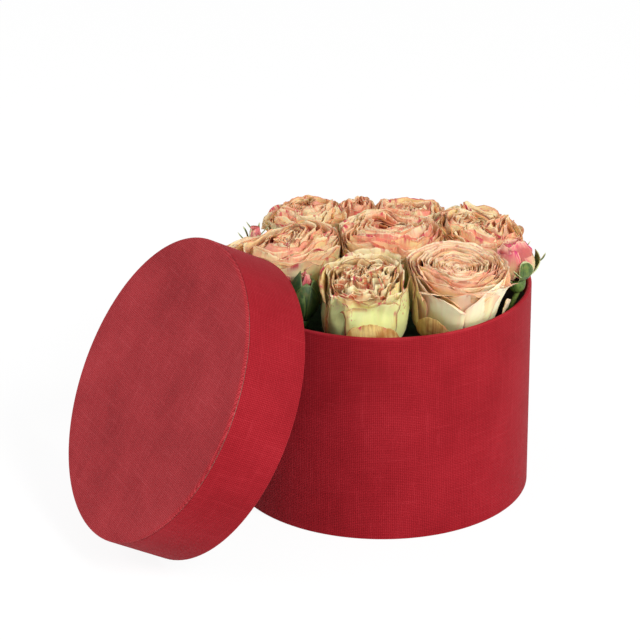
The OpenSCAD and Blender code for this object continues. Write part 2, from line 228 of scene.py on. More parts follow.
class Graph:
    """A shader's nodes, with short calls for the few kinds that the finishes use."""

    def __init__(self, tree: bpy.types.NodeTree) -> None:
        """Takes the tree that the nodes go into."""
        self.tree = tree

    def add(self, kind: str, **fields: object) -> bpy.types.Node:
        """Adds a node.

        Args:
            kind: Blender's name for the node.
            fields: Values for the node's own fields.

        Returns:
            The node.
        """
        node = self.tree.nodes.new(kind)
        for name, value in fields.items():
            setattr(node, name, value)
        return node

    def put(self, socket: Socket, value: object) -> None:
        """Links a socket, or sets its value."""
        if isinstance(value, bpy.types.NodeSocket):
            self.tree.links.new(value, socket)
        else:
            socket.default_value = value

    def fill(self, node: bpy.types.Node, values: dict[str, object]) -> None:
        """Links or sets several inputs of a node, by name."""
        for name, value in values.items():
            self.put(node.inputs[name], value)

    def math(self, what: str, a: object, b: object = 0.0, clamp: bool = False) -> Socket:
        """Does one sum on two numbers.

        Args:
            what: Name of the sum.
            a: First number or socket.
            b: Second number or socket.
            clamp: Whether the result stays from 0 to 1.

        Returns:
            The result.
        """
        node = self.add("ShaderNodeMath", operation=what, use_clamp=clamp)
        self.put(node.inputs[0], a)
        self.put(node.inputs[1], b)
        return node.outputs[0]

    def times(self, a: object, b: object, clamp: bool = False) -> Socket:
        """Multiplies two numbers."""
        return self.math("MULTIPLY", a, b, clamp)

    def plus(self, a: object, b: object, clamp: bool = False) -> Socket:
        """Adds two numbers."""
        return self.math("ADD", a, b, clamp)

    def less(self, a: object, b: object) -> Socket:
        """Takes b from a."""
        return self.math("SUBTRACT", a, b)

    def away(self, value: Socket) -> Socket:
        """Tells how far a pattern is from its average, 0.5."""
        return self.less(value, 0.5)

    def mix(self, share: object, a: object, b: object) -> Socket:
        """Mixes colour a toward colour b by a share.

        Args:
            share: Share of b, 0 to 1.
            a: Colour at 0.
            b: Colour at 1.

        Returns:
            The mixed colour.
        """
        node = self.add("ShaderNodeMix", data_type="RGBA")
        for socket, value in zip((node.inputs[0], node.inputs[6], node.inputs[7]), (share, a, b)):
            self.put(socket, value)
        return node.outputs[2]

    def ease(self, value: object, low: float, high: float, top: float = 1.0) -> Socket:
        """Rises smoothly from 0 at low to top at high, or falls where high is below low.

        Args:
            value: Number or socket to look at.
            low: Where the rise starts.
            high: Where it ends.
            top: What it rises to.

        Returns:
            The eased number.
        """
        node = self.add("ShaderNodeMapRange", interpolation_type="SMOOTHSTEP")
        self.put(node.inputs[0], value)
        if low < high:
            limits = (low, high, 0.0, top)
        else:
            limits = (high, low, top, 0.0)
        for socket, limit in zip(node.inputs[1:5], limits):
            socket.default_value = limit
        return node.outputs[0]

    def noise(self, place: Socket, scale: object, detail: float = 2.0, rough: float = 0.5) -> Socket:
        """Reads a cloudy pattern, about 0.5 on average.

        Args:
            place: Where to read.
            scale: Number or socket: clouds for each unit of the place.
            detail: Number of finer layers.
            rough: Strength of the finer layers.

        Returns:
            The pattern's value.
        """
        node = self.add("ShaderNodeTexNoise")
        self.fill(node, {"Vector": place, "Scale": scale, "Detail": detail, "Roughness": rough})
        return node.outputs["Fac"]

    def mark(self, name: str) -> Socket:
        """Reads a number that the mesh holds at each point."""
        return self.add("ShaderNodeAttribute", attribute_name=name).outputs["Fac"]

    def split(self, place: Socket) -> tuple[Socket, Socket, Socket]:
        """Takes a place apart into its three numbers."""
        node = self.add("ShaderNodeSeparateXYZ")
        self.put(node.inputs[0], place)
        return node.outputs[0], node.outputs[1], node.outputs[2]

    def join(self, x: object, y: object, z: object) -> Socket:
        """Puts three numbers together as a place."""
        node = self.add("ShaderNodeCombineXYZ")
        for socket, value in zip(node.inputs, (x, y, z)):
            self.put(socket, value)
        return node.outputs[0]

    def place(self) -> Socket:
        """Reads the place on the object, in metres."""
        return self.add("ShaderNodeTexCoord").outputs["Object"]

    def bump(self, height: Socket, strength: float, distance: float) -> Socket:
        """Turns a height into a normal.

        Args:
            height: Height, 0 to 1.
            strength: How much of it shows.
            distance: Real height of 1, in metres.

        Returns:
            The normal.
        """
        node = self.add("ShaderNodeBump")
        self.fill(node, {"Height": height, "Strength": strength, "Distance": distance})
        return node.outputs["Normal"]

    def seen(self) -> Socket:
        """Gives 1 on a ray that the camera sees, straight, reflected or through glass."""
        path = self.add("ShaderNodeLightPath")
        kinds = ("Camera", "Glossy", "Transmission")
        straight, glossy, through = (path.outputs[f"Is {kind} Ray"] for kind in kinds)
        return self.math("MAXIMUM", self.math("MAXIMUM", straight, glossy), through)


class GroupGraph(Graph):
    """A node group that several materials place, each with its own values."""

    def __init__(self, name: str, takes: dict[str, str], gives: dict[str, str]) -> None:
        """Makes the group and its sockets.

        Args:
            name: Name of the group.
            takes: Kind of each input, by its name.
            gives: Kind of each output, by its name.
        """
        super().__init__(bpy.data.node_groups.new(name, "ShaderNodeTree"))
        kinds = {"number": "NodeSocketFloat", "colour": "NodeSocketColor", "place": "NodeSocketVector"}
        for socket, kind in takes.items():
            self.tree.interface.new_socket(socket, in_out="INPUT", socket_type=kinds[kind])
        for socket, kind in gives.items():
            self.tree.interface.new_socket(socket, in_out="OUTPUT", socket_type=kinds[kind])
        self.takes = self.add("NodeGroupInput").outputs
        self.gives = self.add("NodeGroupOutput").inputs


def place_group(graph: Graph, group: bpy.types.NodeTree, **values: object) -> bpy.types.Node:
    """Places a node group in a material and feeds it.

    Args:
        graph: The material's nodes.
        group: The group.
        values: A value or socket for each input, by its name.

    Returns:
        The placed group, whose outputs are read by name.
    """
    node = graph.add("ShaderNodeGroup", node_tree=group)
    graph.fill(node, values)
    return node


def weave_group() -> bpy.types.NodeTree:
    """Makes the plain weave of book cloth.

    With across and along counted in threads, warp = |sin(pi across)| and weft =
    |sin(pi along)|, and the parity 0.5 + 0.5 sin(pi across) sin(pi along) says which
    of the two lies on top. Long thin noise makes some threads thicker.

    Returns:
        The group, which gives Height, Shade and Slub.
    """
    g = GroupGraph(
        "book_cloth_weave",
        {"Across": "number", "Along": "number", "Drift": "number"},
        {"Height": "number", "Shade": "number", "Slub": "number"},
    )
    across, along = g.takes["Across"], g.takes["Along"]
    wander = g.noise(g.join(g.times(across, 0.11), g.times(along, 0.11), 0.0), 1.0, 3.0)
    sway = g.times(g.away(wander), g.takes["Drift"])
    sine_u = g.math("SINE", g.times(g.plus(across, sway), math.pi))
    sine_v = g.math("SINE", g.times(g.plus(along, sway), math.pi))
    parity = g.math("MULTIPLY_ADD", g.times(sine_u, sine_v), 0.5)
    parity.node.inputs[2].default_value = 0.5
    thick_u = g.noise(g.join(across, g.times(along, 0.06), 3.0), 0.83, 1.0)
    thick_v = g.noise(g.join(g.times(across, 0.06), along, 7.0), 0.83, 1.0)
    warp = g.times(g.math("ABSOLUTE", sine_u), g.plus(parity, g.times(thick_u, 0.5)))
    under = g.less(1.0, parity)
    weft = g.times(g.math("ABSOLUTE", sine_v), g.plus(under, g.times(thick_v, 0.5)))
    height = g.times(g.math("MAXIMUM", warp, weft), 0.8)
    fibre = g.noise(g.join(across, along, 11.0), 2.6, 3.0, 0.7)
    slub = g.ease(g.math("MAXIMUM", thick_u, thick_v), 0.6, 0.78)
    shade = g.plus(g.times(height, 0.62), g.times(fibre, 0.4))
    g.put(g.gives["Height"], g.plus(height, g.times(fibre, 0.25)))
    g.put(g.gives["Shade"], shade)
    g.put(g.gives["Slub"], slub)
    return g.tree


# Fold is painted warm shade for the depths of a head; Pale is the rim's cream with a painted highlight.
PETAL_COLOURS = ("Base", "Body", "Blush", "Pale", "Dry", "Spot", "Gold", "Fold")
PETAL_AMOUNTS = ("Blush_amount", "Green_reach", "Dry_amount", "Spot_amount")


def petal_group() -> bpy.types.NodeTree:
    """Makes the colour of a rose petal from the marks that its mesh carries.

    Outside, the foot's colour turns to the body's along the petal, with a flush near the
    edge where slow noise is high. Inside, the blush turns to the body's colour toward the
    edge: the inner face's own pink, laid on toward the foot partly as painted shade deep in
    the cup. The fold's colour is painted warm shade, standing in for light that bleeds
    between the petals; it deepens toward the middle of the head, away from the edges. Veins
    are noise stretched along the petal. The last millimetre, over the edge's own cream and
    pink, is painted light: pale, a painted highlight, where tone and noise are low, and the
    fold's painted shade where they are high. It dries to tan in patches, and deep spots
    stand near the edge where slow noise peaks. A worn petal is streaked with gold and dry
    colour all over.

    Returns:
        The group, which gives Colour and Height.
    """
    takes = dict.fromkeys(PETAL_COLOURS, "colour") | dict.fromkeys(PETAL_AMOUNTS, "number")
    g = GroupGraph("petal_colour", takes, {"Colour": "colour", "Height": "number"})
    base, body_colour, blush, pale, dry_colour, spot_colour, gold, fold = (
        g.takes[name] for name in PETAL_COLOURS
    )
    blush_amount, green_reach, dry_amount, spot_amount = (g.takes[name] for name in PETAL_AMOUNTS)
    along, edge, share = g.mark("along"), g.mark("edge"), g.mark("share")
    tone, inner = g.mark("tone"), g.mark("inner")
    u, v, _ = g.split(g.add("ShaderNodeTexCoord").outputs["UV"])
    seed = g.times(tone, 37.0)

    def pattern(across: float, up: float, detail: float, shift: float = 0.0) -> Socket:
        """Reads noise on the petal, with its own start for each petal."""
        depth = g.plus(seed, shift) if shift else seed
        return g.noise(g.join(g.times(u, across), g.times(v, up), depth), 1.0, detail)

    cloud, vein = pattern(2.2, 1.6, 3.0), pattern(34.0, 1.6, 2.0)
    fine, patch = pattern(80.0, 10.0, 2.0), pattern(5.0, 2.0, 2.0, shift=5.0)
    wash = pattern(1.6, 1.0, 2.0, shift=9.0)
    mottle = g.noise(g.place(), 95.0, 3.0)
    streak = g.times(g.away(vein), 0.5)
    body = g.mix(g.ease(g.plus(tone, streak), 0.45, 0.95, 0.8), body_colour, gold)
    flushed = g.ease(g.plus(g.times(mottle, 0.6), g.times(wash, 0.4)), 0.42, 0.62)
    body = g.mix(g.times(flushed, g.times(blush_amount, 0.38)), body, blush)
    outer = g.ease(share, 0.72, 0.95)
    climb = g.less(g.plus(along, streak), g.times(outer, green_reach))
    outside = g.mix(g.ease(climb, 0.3, 0.85), base, body)
    band = g.times(g.ease(edge, 0.95, 0.35), g.ease(g.plus(cloud, streak), 0.40, 0.66))
    band = g.times(band, g.less(1.0, g.times(outer, 0.45)))
    outside = g.mix(g.times(band, blush_amount, True), outside, blush)
    # Inside: the inner face's own pink toward the foot, laid on partly as painted shade deep in the cup.
    inside = g.mix(g.ease(g.plus(along, streak), 0.62, 1.05), blush, body)
    colour = g.mix(inner, outside, inside)
    # Painted shade: the warm fold colour, standing in for light that bleeds between petals, on the inner
    # petals away from their edges.
    recess_shade = g.times(g.ease(share, 0.98, 0.5), g.ease(edge, 0.22, 0.85))
    colour = g.mix(g.times(recess_shade, g.times(blush_amount, 0.9), True), colour, fold)
    # Painted light on the last millimetre, over the edge's own cream and pink: pale as a painted highlight
    # where tone and noise are low, the fold's painted shade where they are high.
    lip = g.mix(g.ease(g.plus(tone, g.times(g.away(wash), 1.6)), 0.45, 0.6), pale, fold)
    colour = g.mix(g.ease(edge, 0.20, 0.0, 0.8), colour, lip)
    weathered = g.plus(g.times(streak, 0.7), g.plus(g.times(mottle, 0.5), g.times(cloud, 0.5)))
    aged = g.mix(g.ease(weathered, 0.4, 0.72), dry_colour, gold)
    colour = g.mix(g.mark("worn"), colour, aged)
    spot = g.times(g.ease(edge, 0.7, 0.1), g.ease(g.plus(patch, streak), 0.57, 0.70))
    colour = g.mix(g.times(spot, spot_amount, True), colour, spot_colour)
    rough = g.plus(wash, g.times(g.away(fine), 0.5))
    dry = g.times(g.ease(edge, 0.20, 0.0), g.ease(rough, 0.5, 0.66))
    colour = g.mix(g.times(dry, dry_amount, True), colour, dry_colour)
    g.put(g.gives["Colour"], colour)
    g.put(g.gives["Height"], g.plus(g.times(vein, 0.8), g.times(fine, 0.3)))
    return g.tree


def speckle_group() -> bpy.types.NodeTree:
    """Makes fine grain with slow clouds under it, for board, foam and stem.

    Returns:
        The group, which gives Grain, fine and even, and Cloud, slow and soft.
    """
    g = GroupGraph(
        "fine_grain",
        {"Place": "place", "Fine": "number", "Slow": "number"},
        {"Grain": "number", "Cloud": "number"},
    )
    for name, scale, detail in (("Grain", "Fine", 4.0), ("Cloud", "Slow", 2.0)):
        g.put(g.gives[name], g.noise(g.takes["Place"], g.takes[scale], detail))
    return g.tree


class Finish:
    """What every finish does: it makes one material and keeps it."""

    name: str

    def material(self) -> bpy.types.Material:
        """Gives the material, made once. No material that comes with the frame has its name."""
        found = bpy.data.materials.get(self.name)
        if found is None:
            found = bpy.data.materials.new(self.name)
            found.use_nodes = True
            graph = Graph(found.node_tree)
            self.build(graph, found.node_tree.nodes["Principled BSDF"])
        return found

    def build(self, g: Graph, skin: bpy.types.Node) -> None:
        """Adds the finish's nodes. Each finish has its own."""
        raise NotImplementedError

    def dress(self, piece: bpy.types.Object) -> None:
        """Puts the material on a piece, in place of what it has."""
        piece.data.materials.clear()
        piece.data.materials.append(self.material())


class Wrap(Enum):
    """How the threads of a cloth run over what it covers."""

    ROUND = "round"
    FLAT = "flat"


@dataclass(frozen=True)
class ClothFinish(Finish):
    """Red book cloth. Threads run round and up a wall, or straight across a face.

    The pitch is the height of a thread, and drift how far it wanders, in threads. Centre,
    lean and toward place a lid's own frame. The crown's colour is also painted along the
    top of a wall as a patchy painted highlight, between two heights; the ones given here are
    above any part.
    """

    name: str
    wrap: Wrap
    deep: Colour
    body: Colour
    crown: Colour
    threads_round: int = 492
    pitch: float = 1.08 * MM
    centre: tuple[float, float, float] = (0.0, 0.0, 0.0)
    lean: float = 0.0
    toward: float = 0.0
    sheen: float = 0.05
    sheen_tint: Colour = tint(238, 150, 150)
    gloss: float = 0.14
    rough: float = 0.85
    relief: float = 0.18 * MM
    drift: float = 0.9
    # Heights between which the painted rim highlight rises; these defaults are above any part.
    highlight_from: float = 1.0
    highlight_to: float = 2.0

    def local(self, g: Graph) -> Socket:
        """Reads the place in the covered part's own upright frame.

        Args:
            g: The material's nodes.

        Returns:
            The place, in metres.
        """
        back = Matrix(turn_matrix(self.lean, self.toward).tolist()).transposed()
        half_turn = Matrix.Rotation(math.pi, 3, "Z")
        frame = half_turn @ back if self.lean else back
        node = g.add("ShaderNodeMapping", vector_type="POINT")
        g.put(node.inputs["Vector"], g.place())
        node.inputs["Rotation"].default_value = frame.to_euler()
        node.inputs["Location"].default_value = -(frame @ Vector(self.centre))
        return node.outputs["Vector"]

    def build(self, g: Graph, skin: bpy.types.Node) -> None:
        """Counts threads over the part, then sets colour, roughness and relief."""
        place = self.local(g)
        x, y, z = g.split(place)
        if self.wrap is Wrap.ROUND:
            turn = g.math("DIVIDE", g.math("ARCTAN2", y, x), 2.0 * math.pi)
            across = g.times(turn, float(self.threads_round))
            radius = g.math("SQRT", g.plus(g.times(x, x), g.times(y, y)))
            along = g.math("DIVIDE", g.less(z, radius), self.pitch)
        else:
            across = g.math("DIVIDE", x, self.pitch)
            along = g.math("DIVIDE", y, self.pitch)
        cloth = place_group(g, GROUPS["weave"], Across=across, Along=along, Drift=self.drift)
        cloud = g.noise(place, 22.0, 4.0, 0.6)
        shade = g.plus(cloth.outputs["Shade"], g.times(g.away(cloud), 0.55))
        colour = g.mix(g.ease(shade, 0.2, 0.72), self.deep, self.body)
        light = g.plus(g.ease(shade, 0.6, 0.95, 0.6), g.times(cloth.outputs["Slub"], 0.12), True)
        colour = g.mix(light, colour, self.crown)
        # Painted highlight: a patchy band of the crown colour along the top of the rim, between two
        # heights.
        rim_highlight = g.times(g.ease(z, self.highlight_from, self.highlight_to, 0.6), g.ease(cloud, 0.3, 0.6))
        height = cloth.outputs["Height"]
        g.fill(skin, {
            "Base Color": g.mix(rim_highlight, colour, self.crown),
            "Roughness": g.less(self.rough, g.times(height, 0.18)),
            "Normal": g.bump(height, 0.6, self.relief),
            "Sheen Weight": self.sheen,
            "Sheen Roughness": 0.45,
            "Sheen Tint": self.sheen_tint,
            "Specular IOR Level": self.gloss,
        })


@dataclass(frozen=True)
class GrainFinish(Finish):
    """Board, foam or stem: two colours in slow clouds with a fine grain.

    Fine and slow are the number of grains and of clouds in each metre.
    """

    name: str
    dark: Colour
    light: Colour
    fine: float
    slow: float
    rough: float = 0.85
    relief: float = 0.1 * MM

    def build(self, g: Graph, skin: bpy.types.Node) -> None:
        """Mixes the two colours and roughens them with the grain."""
        grain = place_group(g, GROUPS["speckle"], Place=g.place(), Fine=self.fine, Slow=self.slow)
        both = g.plus(g.times(grain.outputs["Grain"], 0.5), g.times(grain.outputs["Cloud"], 0.5))
        g.fill(skin, {
            "Base Color": g.mix(g.ease(both, 0.36, 0.64), self.dark, self.light),
            "Roughness": g.plus(self.rough - 0.08, g.times(grain.outputs["Grain"], 0.16)),
            "Normal": g.bump(grain.outputs["Grain"], 0.6, self.relief),
        })


@dataclass(frozen=True)
class PetalFinish(Finish):
    """A rose petal's colours, from its foot to its dried edge."""

    name: str
    base: Colour = tint(222, 228, 138)
    body: Colour = tint(252, 237, 184)
    blush: Colour = tint(243, 146, 126)
    # pale: the rim's cream and its painted highlight; fold: painted warm shade deep in the head and on some
    # rims.
    pale: Colour = tint(252, 224, 176)
    dry: Colour = tint(172, 112, 56)
    spot: Colour = tint(200, 56, 80)
    gold: Colour = tint(242, 212, 138)
    fold: Colour = tint(238, 128, 104)
    blush_amount: float = 0.9
    green_reach: float = 0.15
    dry_amount: float = 0.8
    spot_amount: float = 1.0
    rough: float = 0.6

    def build(self, g: Graph, skin: bpy.types.Node) -> None:
        """Feeds the petal's colours to the shared group and sets the skin."""
        values = {name: getattr(self, name.lower()) for name in PETAL_COLOURS + PETAL_AMOUNTS}
        petal = place_group(g, GROUPS["petal"], **values)
        height = petal.outputs["Height"]
        g.fill(skin, {
            "Base Color": petal.outputs["Colour"],
            "Normal": g.bump(height, 0.5, 0.12 * MM),
            "Roughness": g.plus(self.rough - 0.08, g.times(height, 0.15)),
            "Subsurface Weight": 0.25,
            "Subsurface Radius": (1.0, 0.55, 0.3),
            "Subsurface Scale": 1.6 * MM,
            "Sheen Weight": 0.08,
            "Specular IOR Level": 0.3,
        })


@dataclass(frozen=True)
class SepalFinish(Finish):
    """Green sepal or hip: darker in the middle, paler and whitish along its edge."""

    name: str
    dark: Colour = tint(48, 76, 26)
    light: Colour = tint(108, 134, 54)
    rim: Colour = tint(222, 224, 170)
    blush: Colour = tint(150, 86, 60)
    blush_amount: float = 0.35

    def build(self, g: Graph, skin: bpy.types.Node) -> None:
        """Mixes greens by noise, then turns the edge pale and the tip ruddy."""
        edge, along, tone = g.mark("edge"), g.mark("along"), g.mark("tone")
        u, v, _ = g.split(g.add("ShaderNodeTexCoord").outputs["UV"])
        seed = g.times(tone, 31.0)
        vein = g.noise(g.join(g.times(u, 14.0), g.times(v, 2.5), seed), 1.0, 2.0)
        cloud = g.noise(g.place(), 260.0, 3.0)
        both = g.plus(g.times(vein, 0.5), g.times(cloud, 0.5))
        colour = g.mix(g.ease(both, 0.34, 0.66), self.dark, self.light)
        ruddy = g.times(g.ease(cloud, 0.5, 0.66), g.ease(along, 0.3, 0.9, self.blush_amount))
        colour = g.mix(ruddy, colour, self.blush)
        colour = g.mix(g.ease(edge, 0.14, 0.02, 0.8), colour, self.rim)
        g.fill(skin, {
            "Base Color": colour,
            "Roughness": g.plus(0.45, g.times(cloud, 0.25)),
            "Normal": g.bump(vein, 0.5, 0.15 * MM),
            "Subsurface Weight": 0.12,
            "Subsurface Scale": 1.0 * MM,
        })


GROUPS: dict[str, bpy.types.NodeTree] = {}

# In every variety, fold is the painted warm shade of the head's depths and pale the rim's cream with its
# painted highlight.
CREAM = PetalFinish("petal_cream")
FINISHES: dict[str, PetalFinish] = {
    kind: replace(CREAM, name=f"petal_{kind}", **changes)
    for kind, changes in {
        "cream": {},
        "apricot": {"body": tint(254, 233, 180), "blush": tint(242, 136, 118), "blush_amount": 1.0},
        "golden": {
            "base": tint(238, 240, 156), "body": tint(255, 244, 190), "blush": tint(214, 112, 74),
            "spot": tint(202, 44, 84), "fold": tint(126, 50, 28), "blush_amount": 1.1,
            "green_reach": 0.4, "dry_amount": 1.0,
        },
        "pale": {
            "base": tint(240, 242, 172), "body": tint(255, 244, 204), "blush": tint(248, 162, 146),
            "fold": tint(246, 160, 136), "blush_amount": 0.7, "green_reach": 0.05,
            "dry_amount": 0.4, "spot_amount": 0.7,
        },
        "flushed": {
            "body": tint(255, 214, 168), "blush": tint(234, 112, 104), "blush_amount": 1.1,
            "spot_amount": 1.3,
        },
        "rosy": {
            "base": tint(232, 214, 150), "body": tint(252, 186, 160), "blush": tint(232, 92, 112),
            "pale": tint(250, 206, 168), "dry": tint(138, 58, 40), "spot": tint(206, 44, 108),
            "gold": tint(244, 160, 150), "fold": tint(190, 62, 72), "blush_amount": 1.0,
            "dry_amount": 1.2, "spot_amount": 1.2,
        },
    }.items()
}


# ---------------------------------------------------------------- roses


class Form(Enum):
    """The side view that a head's petals share."""

    BOWL = "bowl"
    BARREL = "barrel"
    BUD = "bud"


@dataclass(frozen=True)
class Guard:
    """One short petal that stands outside the others.

    Turn is its heading in the box's frame and width its half width, in degrees. Height and
    reach are shares of the head's height and radius, and worn is how streaked it is.
    """

    turn: float
    height: float
    width: float
    worn: float
    reach: float


@dataclass(frozen=True)
class Habit:
    """How one flower head grows. Shares are of the head's radius or height; angles are in degrees."""

    petals: int = 80
    columns: int = 31
    form: Form = Form.BOWL
    # side view: fullness of the foot, how much a barrel or bud draws in, flare of the rim
    belly: float = 0.36
    taper: float = 0.09
    flare: float = 0.04
    # height of the middle, of the brim and how far the outermost petals drop below it,
    # with the share of the petals at which the brim is reached and the drop ends
    cup: float = 0.92
    brim: float = 1.0
    drop: float = 0.16
    crest: float = 0.55
    shoulder: float = 1.0
    # how far the rims stand from the axis, from the first to the last
    middle: float = 0.06
    spread: float = 0.9
    fullness: float = 1.07
    # half angle that an outer petal spans, and its twist into a spiral
    span: float = 56.0
    spiral: float = 0.07
    # bends: lip outwards, fold inwards, rolled edge, and the hood on one side
    curl: float = 65.0
    fold: float = 62.0
    roll: float = 55.0
    hood: float = 0.0
    hood_turn: float = 90.0
    hood_width: float = 55.0
    # outline: rounded corners, small notches and the rim's waves
    shed: float = 0.065
    notch: float = 0.012
    ruffle: float = 0.03
    # bends of the whole head, from the longest wave to the shortest
    churn: float = 0.07
    wrinkle: float = 0.022
    crumple: float = 0.007
    lobes: int = 4
    lobe_depth: float = 0.12
    lobe_turn: float = 0.0
    lobe_twist: float = 2.0
    pleats: int = 9
    pleat_depth: float = 0.04
    oval: float = 0.04
    tall: float = 0.04
    tall_side: float = 90.0
    guards: tuple[Guard, ...] = ()


@dataclass(frozen=True)
class Place:
    """Where a head sits: the row of numbers that the solids use.

    Turn is its heading from the box's axis, and out and radius are shares of the mouth.
    Rise is its top above the box, before it leans by lean toward a heading. Angles are in
    degrees, rise and height in millimetres.
    """

    name: str
    turn: float
    out: float
    radius: float
    rise: float
    lean: float
    toward: float
    spin: float
    height: float
    mouth: float = 87.32 * MM
    box_height: float = 130.0 * MM
    anchor: float = 0.6
    gap: float = 0.6 * MM

    def own(self, degrees: float) -> float:
        """Heading in the head's own frame, in radians, of one in the box's frame."""
        return math.radians(degrees - self.toward)

    def head_radius(self) -> float:
        """Radius of the head, in metres."""
        return self.radius * self.mouth - self.gap / 2.0

    def middle(self) -> np.ndarray:
        """Point on the head's axis about which it leans."""
        angle = math.radians(self.turn)
        reach = self.out * self.mouth
        level = self.box_height + (self.rise - (1.0 - self.anchor) * self.height) * MM
        return np.array([reach * math.cos(angle), reach * math.sin(angle), level])

    def to_box(self, points: np.ndarray) -> np.ndarray:
        """Takes points from the head's own frame to the box's.

        The head leans about its middle: p = middle + R (q - (0, 0, anchor height)).

        Args:
            points: Points whose last axis is 3, with the petals' feet at 0.

        Returns:
            The same points in the box's frame.
        """
        middle = np.array([0.0, 0.0, self.anchor * self.height * MM])
        return (points - middle) @ turn_matrix(self.lean, self.toward).T + self.middle()


def waves(rng: np.random.Generator, count: int, u: np.ndarray, low: float, high: float) -> np.ndarray:
    """Adds four sines of random pitch and phase across each petal.

    The sum is over i of a_i sin(pi f_i u + p_i) / 2, with f_i from low to high.

    Args:
        rng: Source of the random numbers.
        count: Number of petals.
        u: Place across the petal, -1 to 1, petals by rows by columns or less.
        low: Lowest pitch, in half waves.
        high: Highest pitch.

    Returns:
        Heights from about -1 to 1, petals by rows by columns.
    """
    pitch = rng.uniform(low, high, (4, count, 1, 1))
    phase = rng.uniform(0.0, 2.0 * math.pi, (4, count, 1, 1))
    size = rng.uniform(0.4, 1.0, (4, count, 1, 1))
    return (size * np.sin(math.pi * pitch * u[None] + phase)).sum(axis=0) / 2.0


def sheet_places(rows: int, columns: int) -> tuple[np.ndarray, np.ndarray]:
    """Gives the places on a family of sheets: u across, -1 to 1, and v along, 0 to 1."""
    return np.linspace(-1.0, 1.0, columns)[None, None, :], np.linspace(0.0, 1.0, rows)[None, :, None]


def summed(steps: np.ndarray) -> np.ndarray:
    """Adds up the steps along each row of places, starting from 0."""
    return np.concatenate([np.zeros_like(steps[:, :1]), np.cumsum(steps, axis=1)], axis=1)


def bend(
    r: np.ndarray, z: np.ndarray, angle: np.ndarray, longer: np.ndarray
) -> tuple[np.ndarray, np.ndarray]:
    """Turns every step of a family of side views outwards, and adds them up again.

    A step (dr, dz) becomes L (dr cos a + dz sin a, dz cos a - dr sin a), where a is the
    mean of the angles at its two ends and L how many times longer it grows.

    Args:
        r: Radius of each point, petals by rows by columns.
        z: Height of each point.
        angle: Angle at each point, in radians.
        longer: L of each step.

    Returns:
        The new radius and height.
    """
    dr, dz = np.diff(r, axis=1) * longer, np.diff(z, axis=1) * longer
    mid = (angle[:, 1:] + angle[:, :-1]) / 2.0
    turned_r = dr * np.cos(mid) + dz * np.sin(mid)
    turned_z = dz * np.cos(mid) - dr * np.sin(mid)
    return r[:, :1] + summed(turned_r), z[:, :1] + summed(turned_z)


def press(value: np.ndarray, limit: float | np.ndarray, soft: float) -> np.ndarray:
    """Holds numbers below a limit, gently.

    One that stands by o past limit - soft goes to limit - soft exp(-o / soft).

    Args:
        value: Numbers to hold.
        limit: What they never reach.
        soft: How far below the limit they start to be held.

    Returns:
        The held numbers.
    """
    past = np.maximum(value - (limit - soft), 0.0)
    held = limit - soft + soft * (1.0 - np.exp(-past / soft))
    return np.where(past > 0.0, held, value)


def random_ways(rng: np.random.Generator, count: int, upright: float) -> np.ndarray:
    """Draws unit directions.

    Args:
        rng: Source of the random numbers.
        count: How many.
        upright: How far they reach up and down, where 1 is as far as sideways.

    Returns:
        Directions, count by 3.
    """
    ways = rng.normal(size=(count, 3)) * [1.0, 1.0, upright]
    return ways / np.linalg.norm(ways, axis=1, keepdims=True)


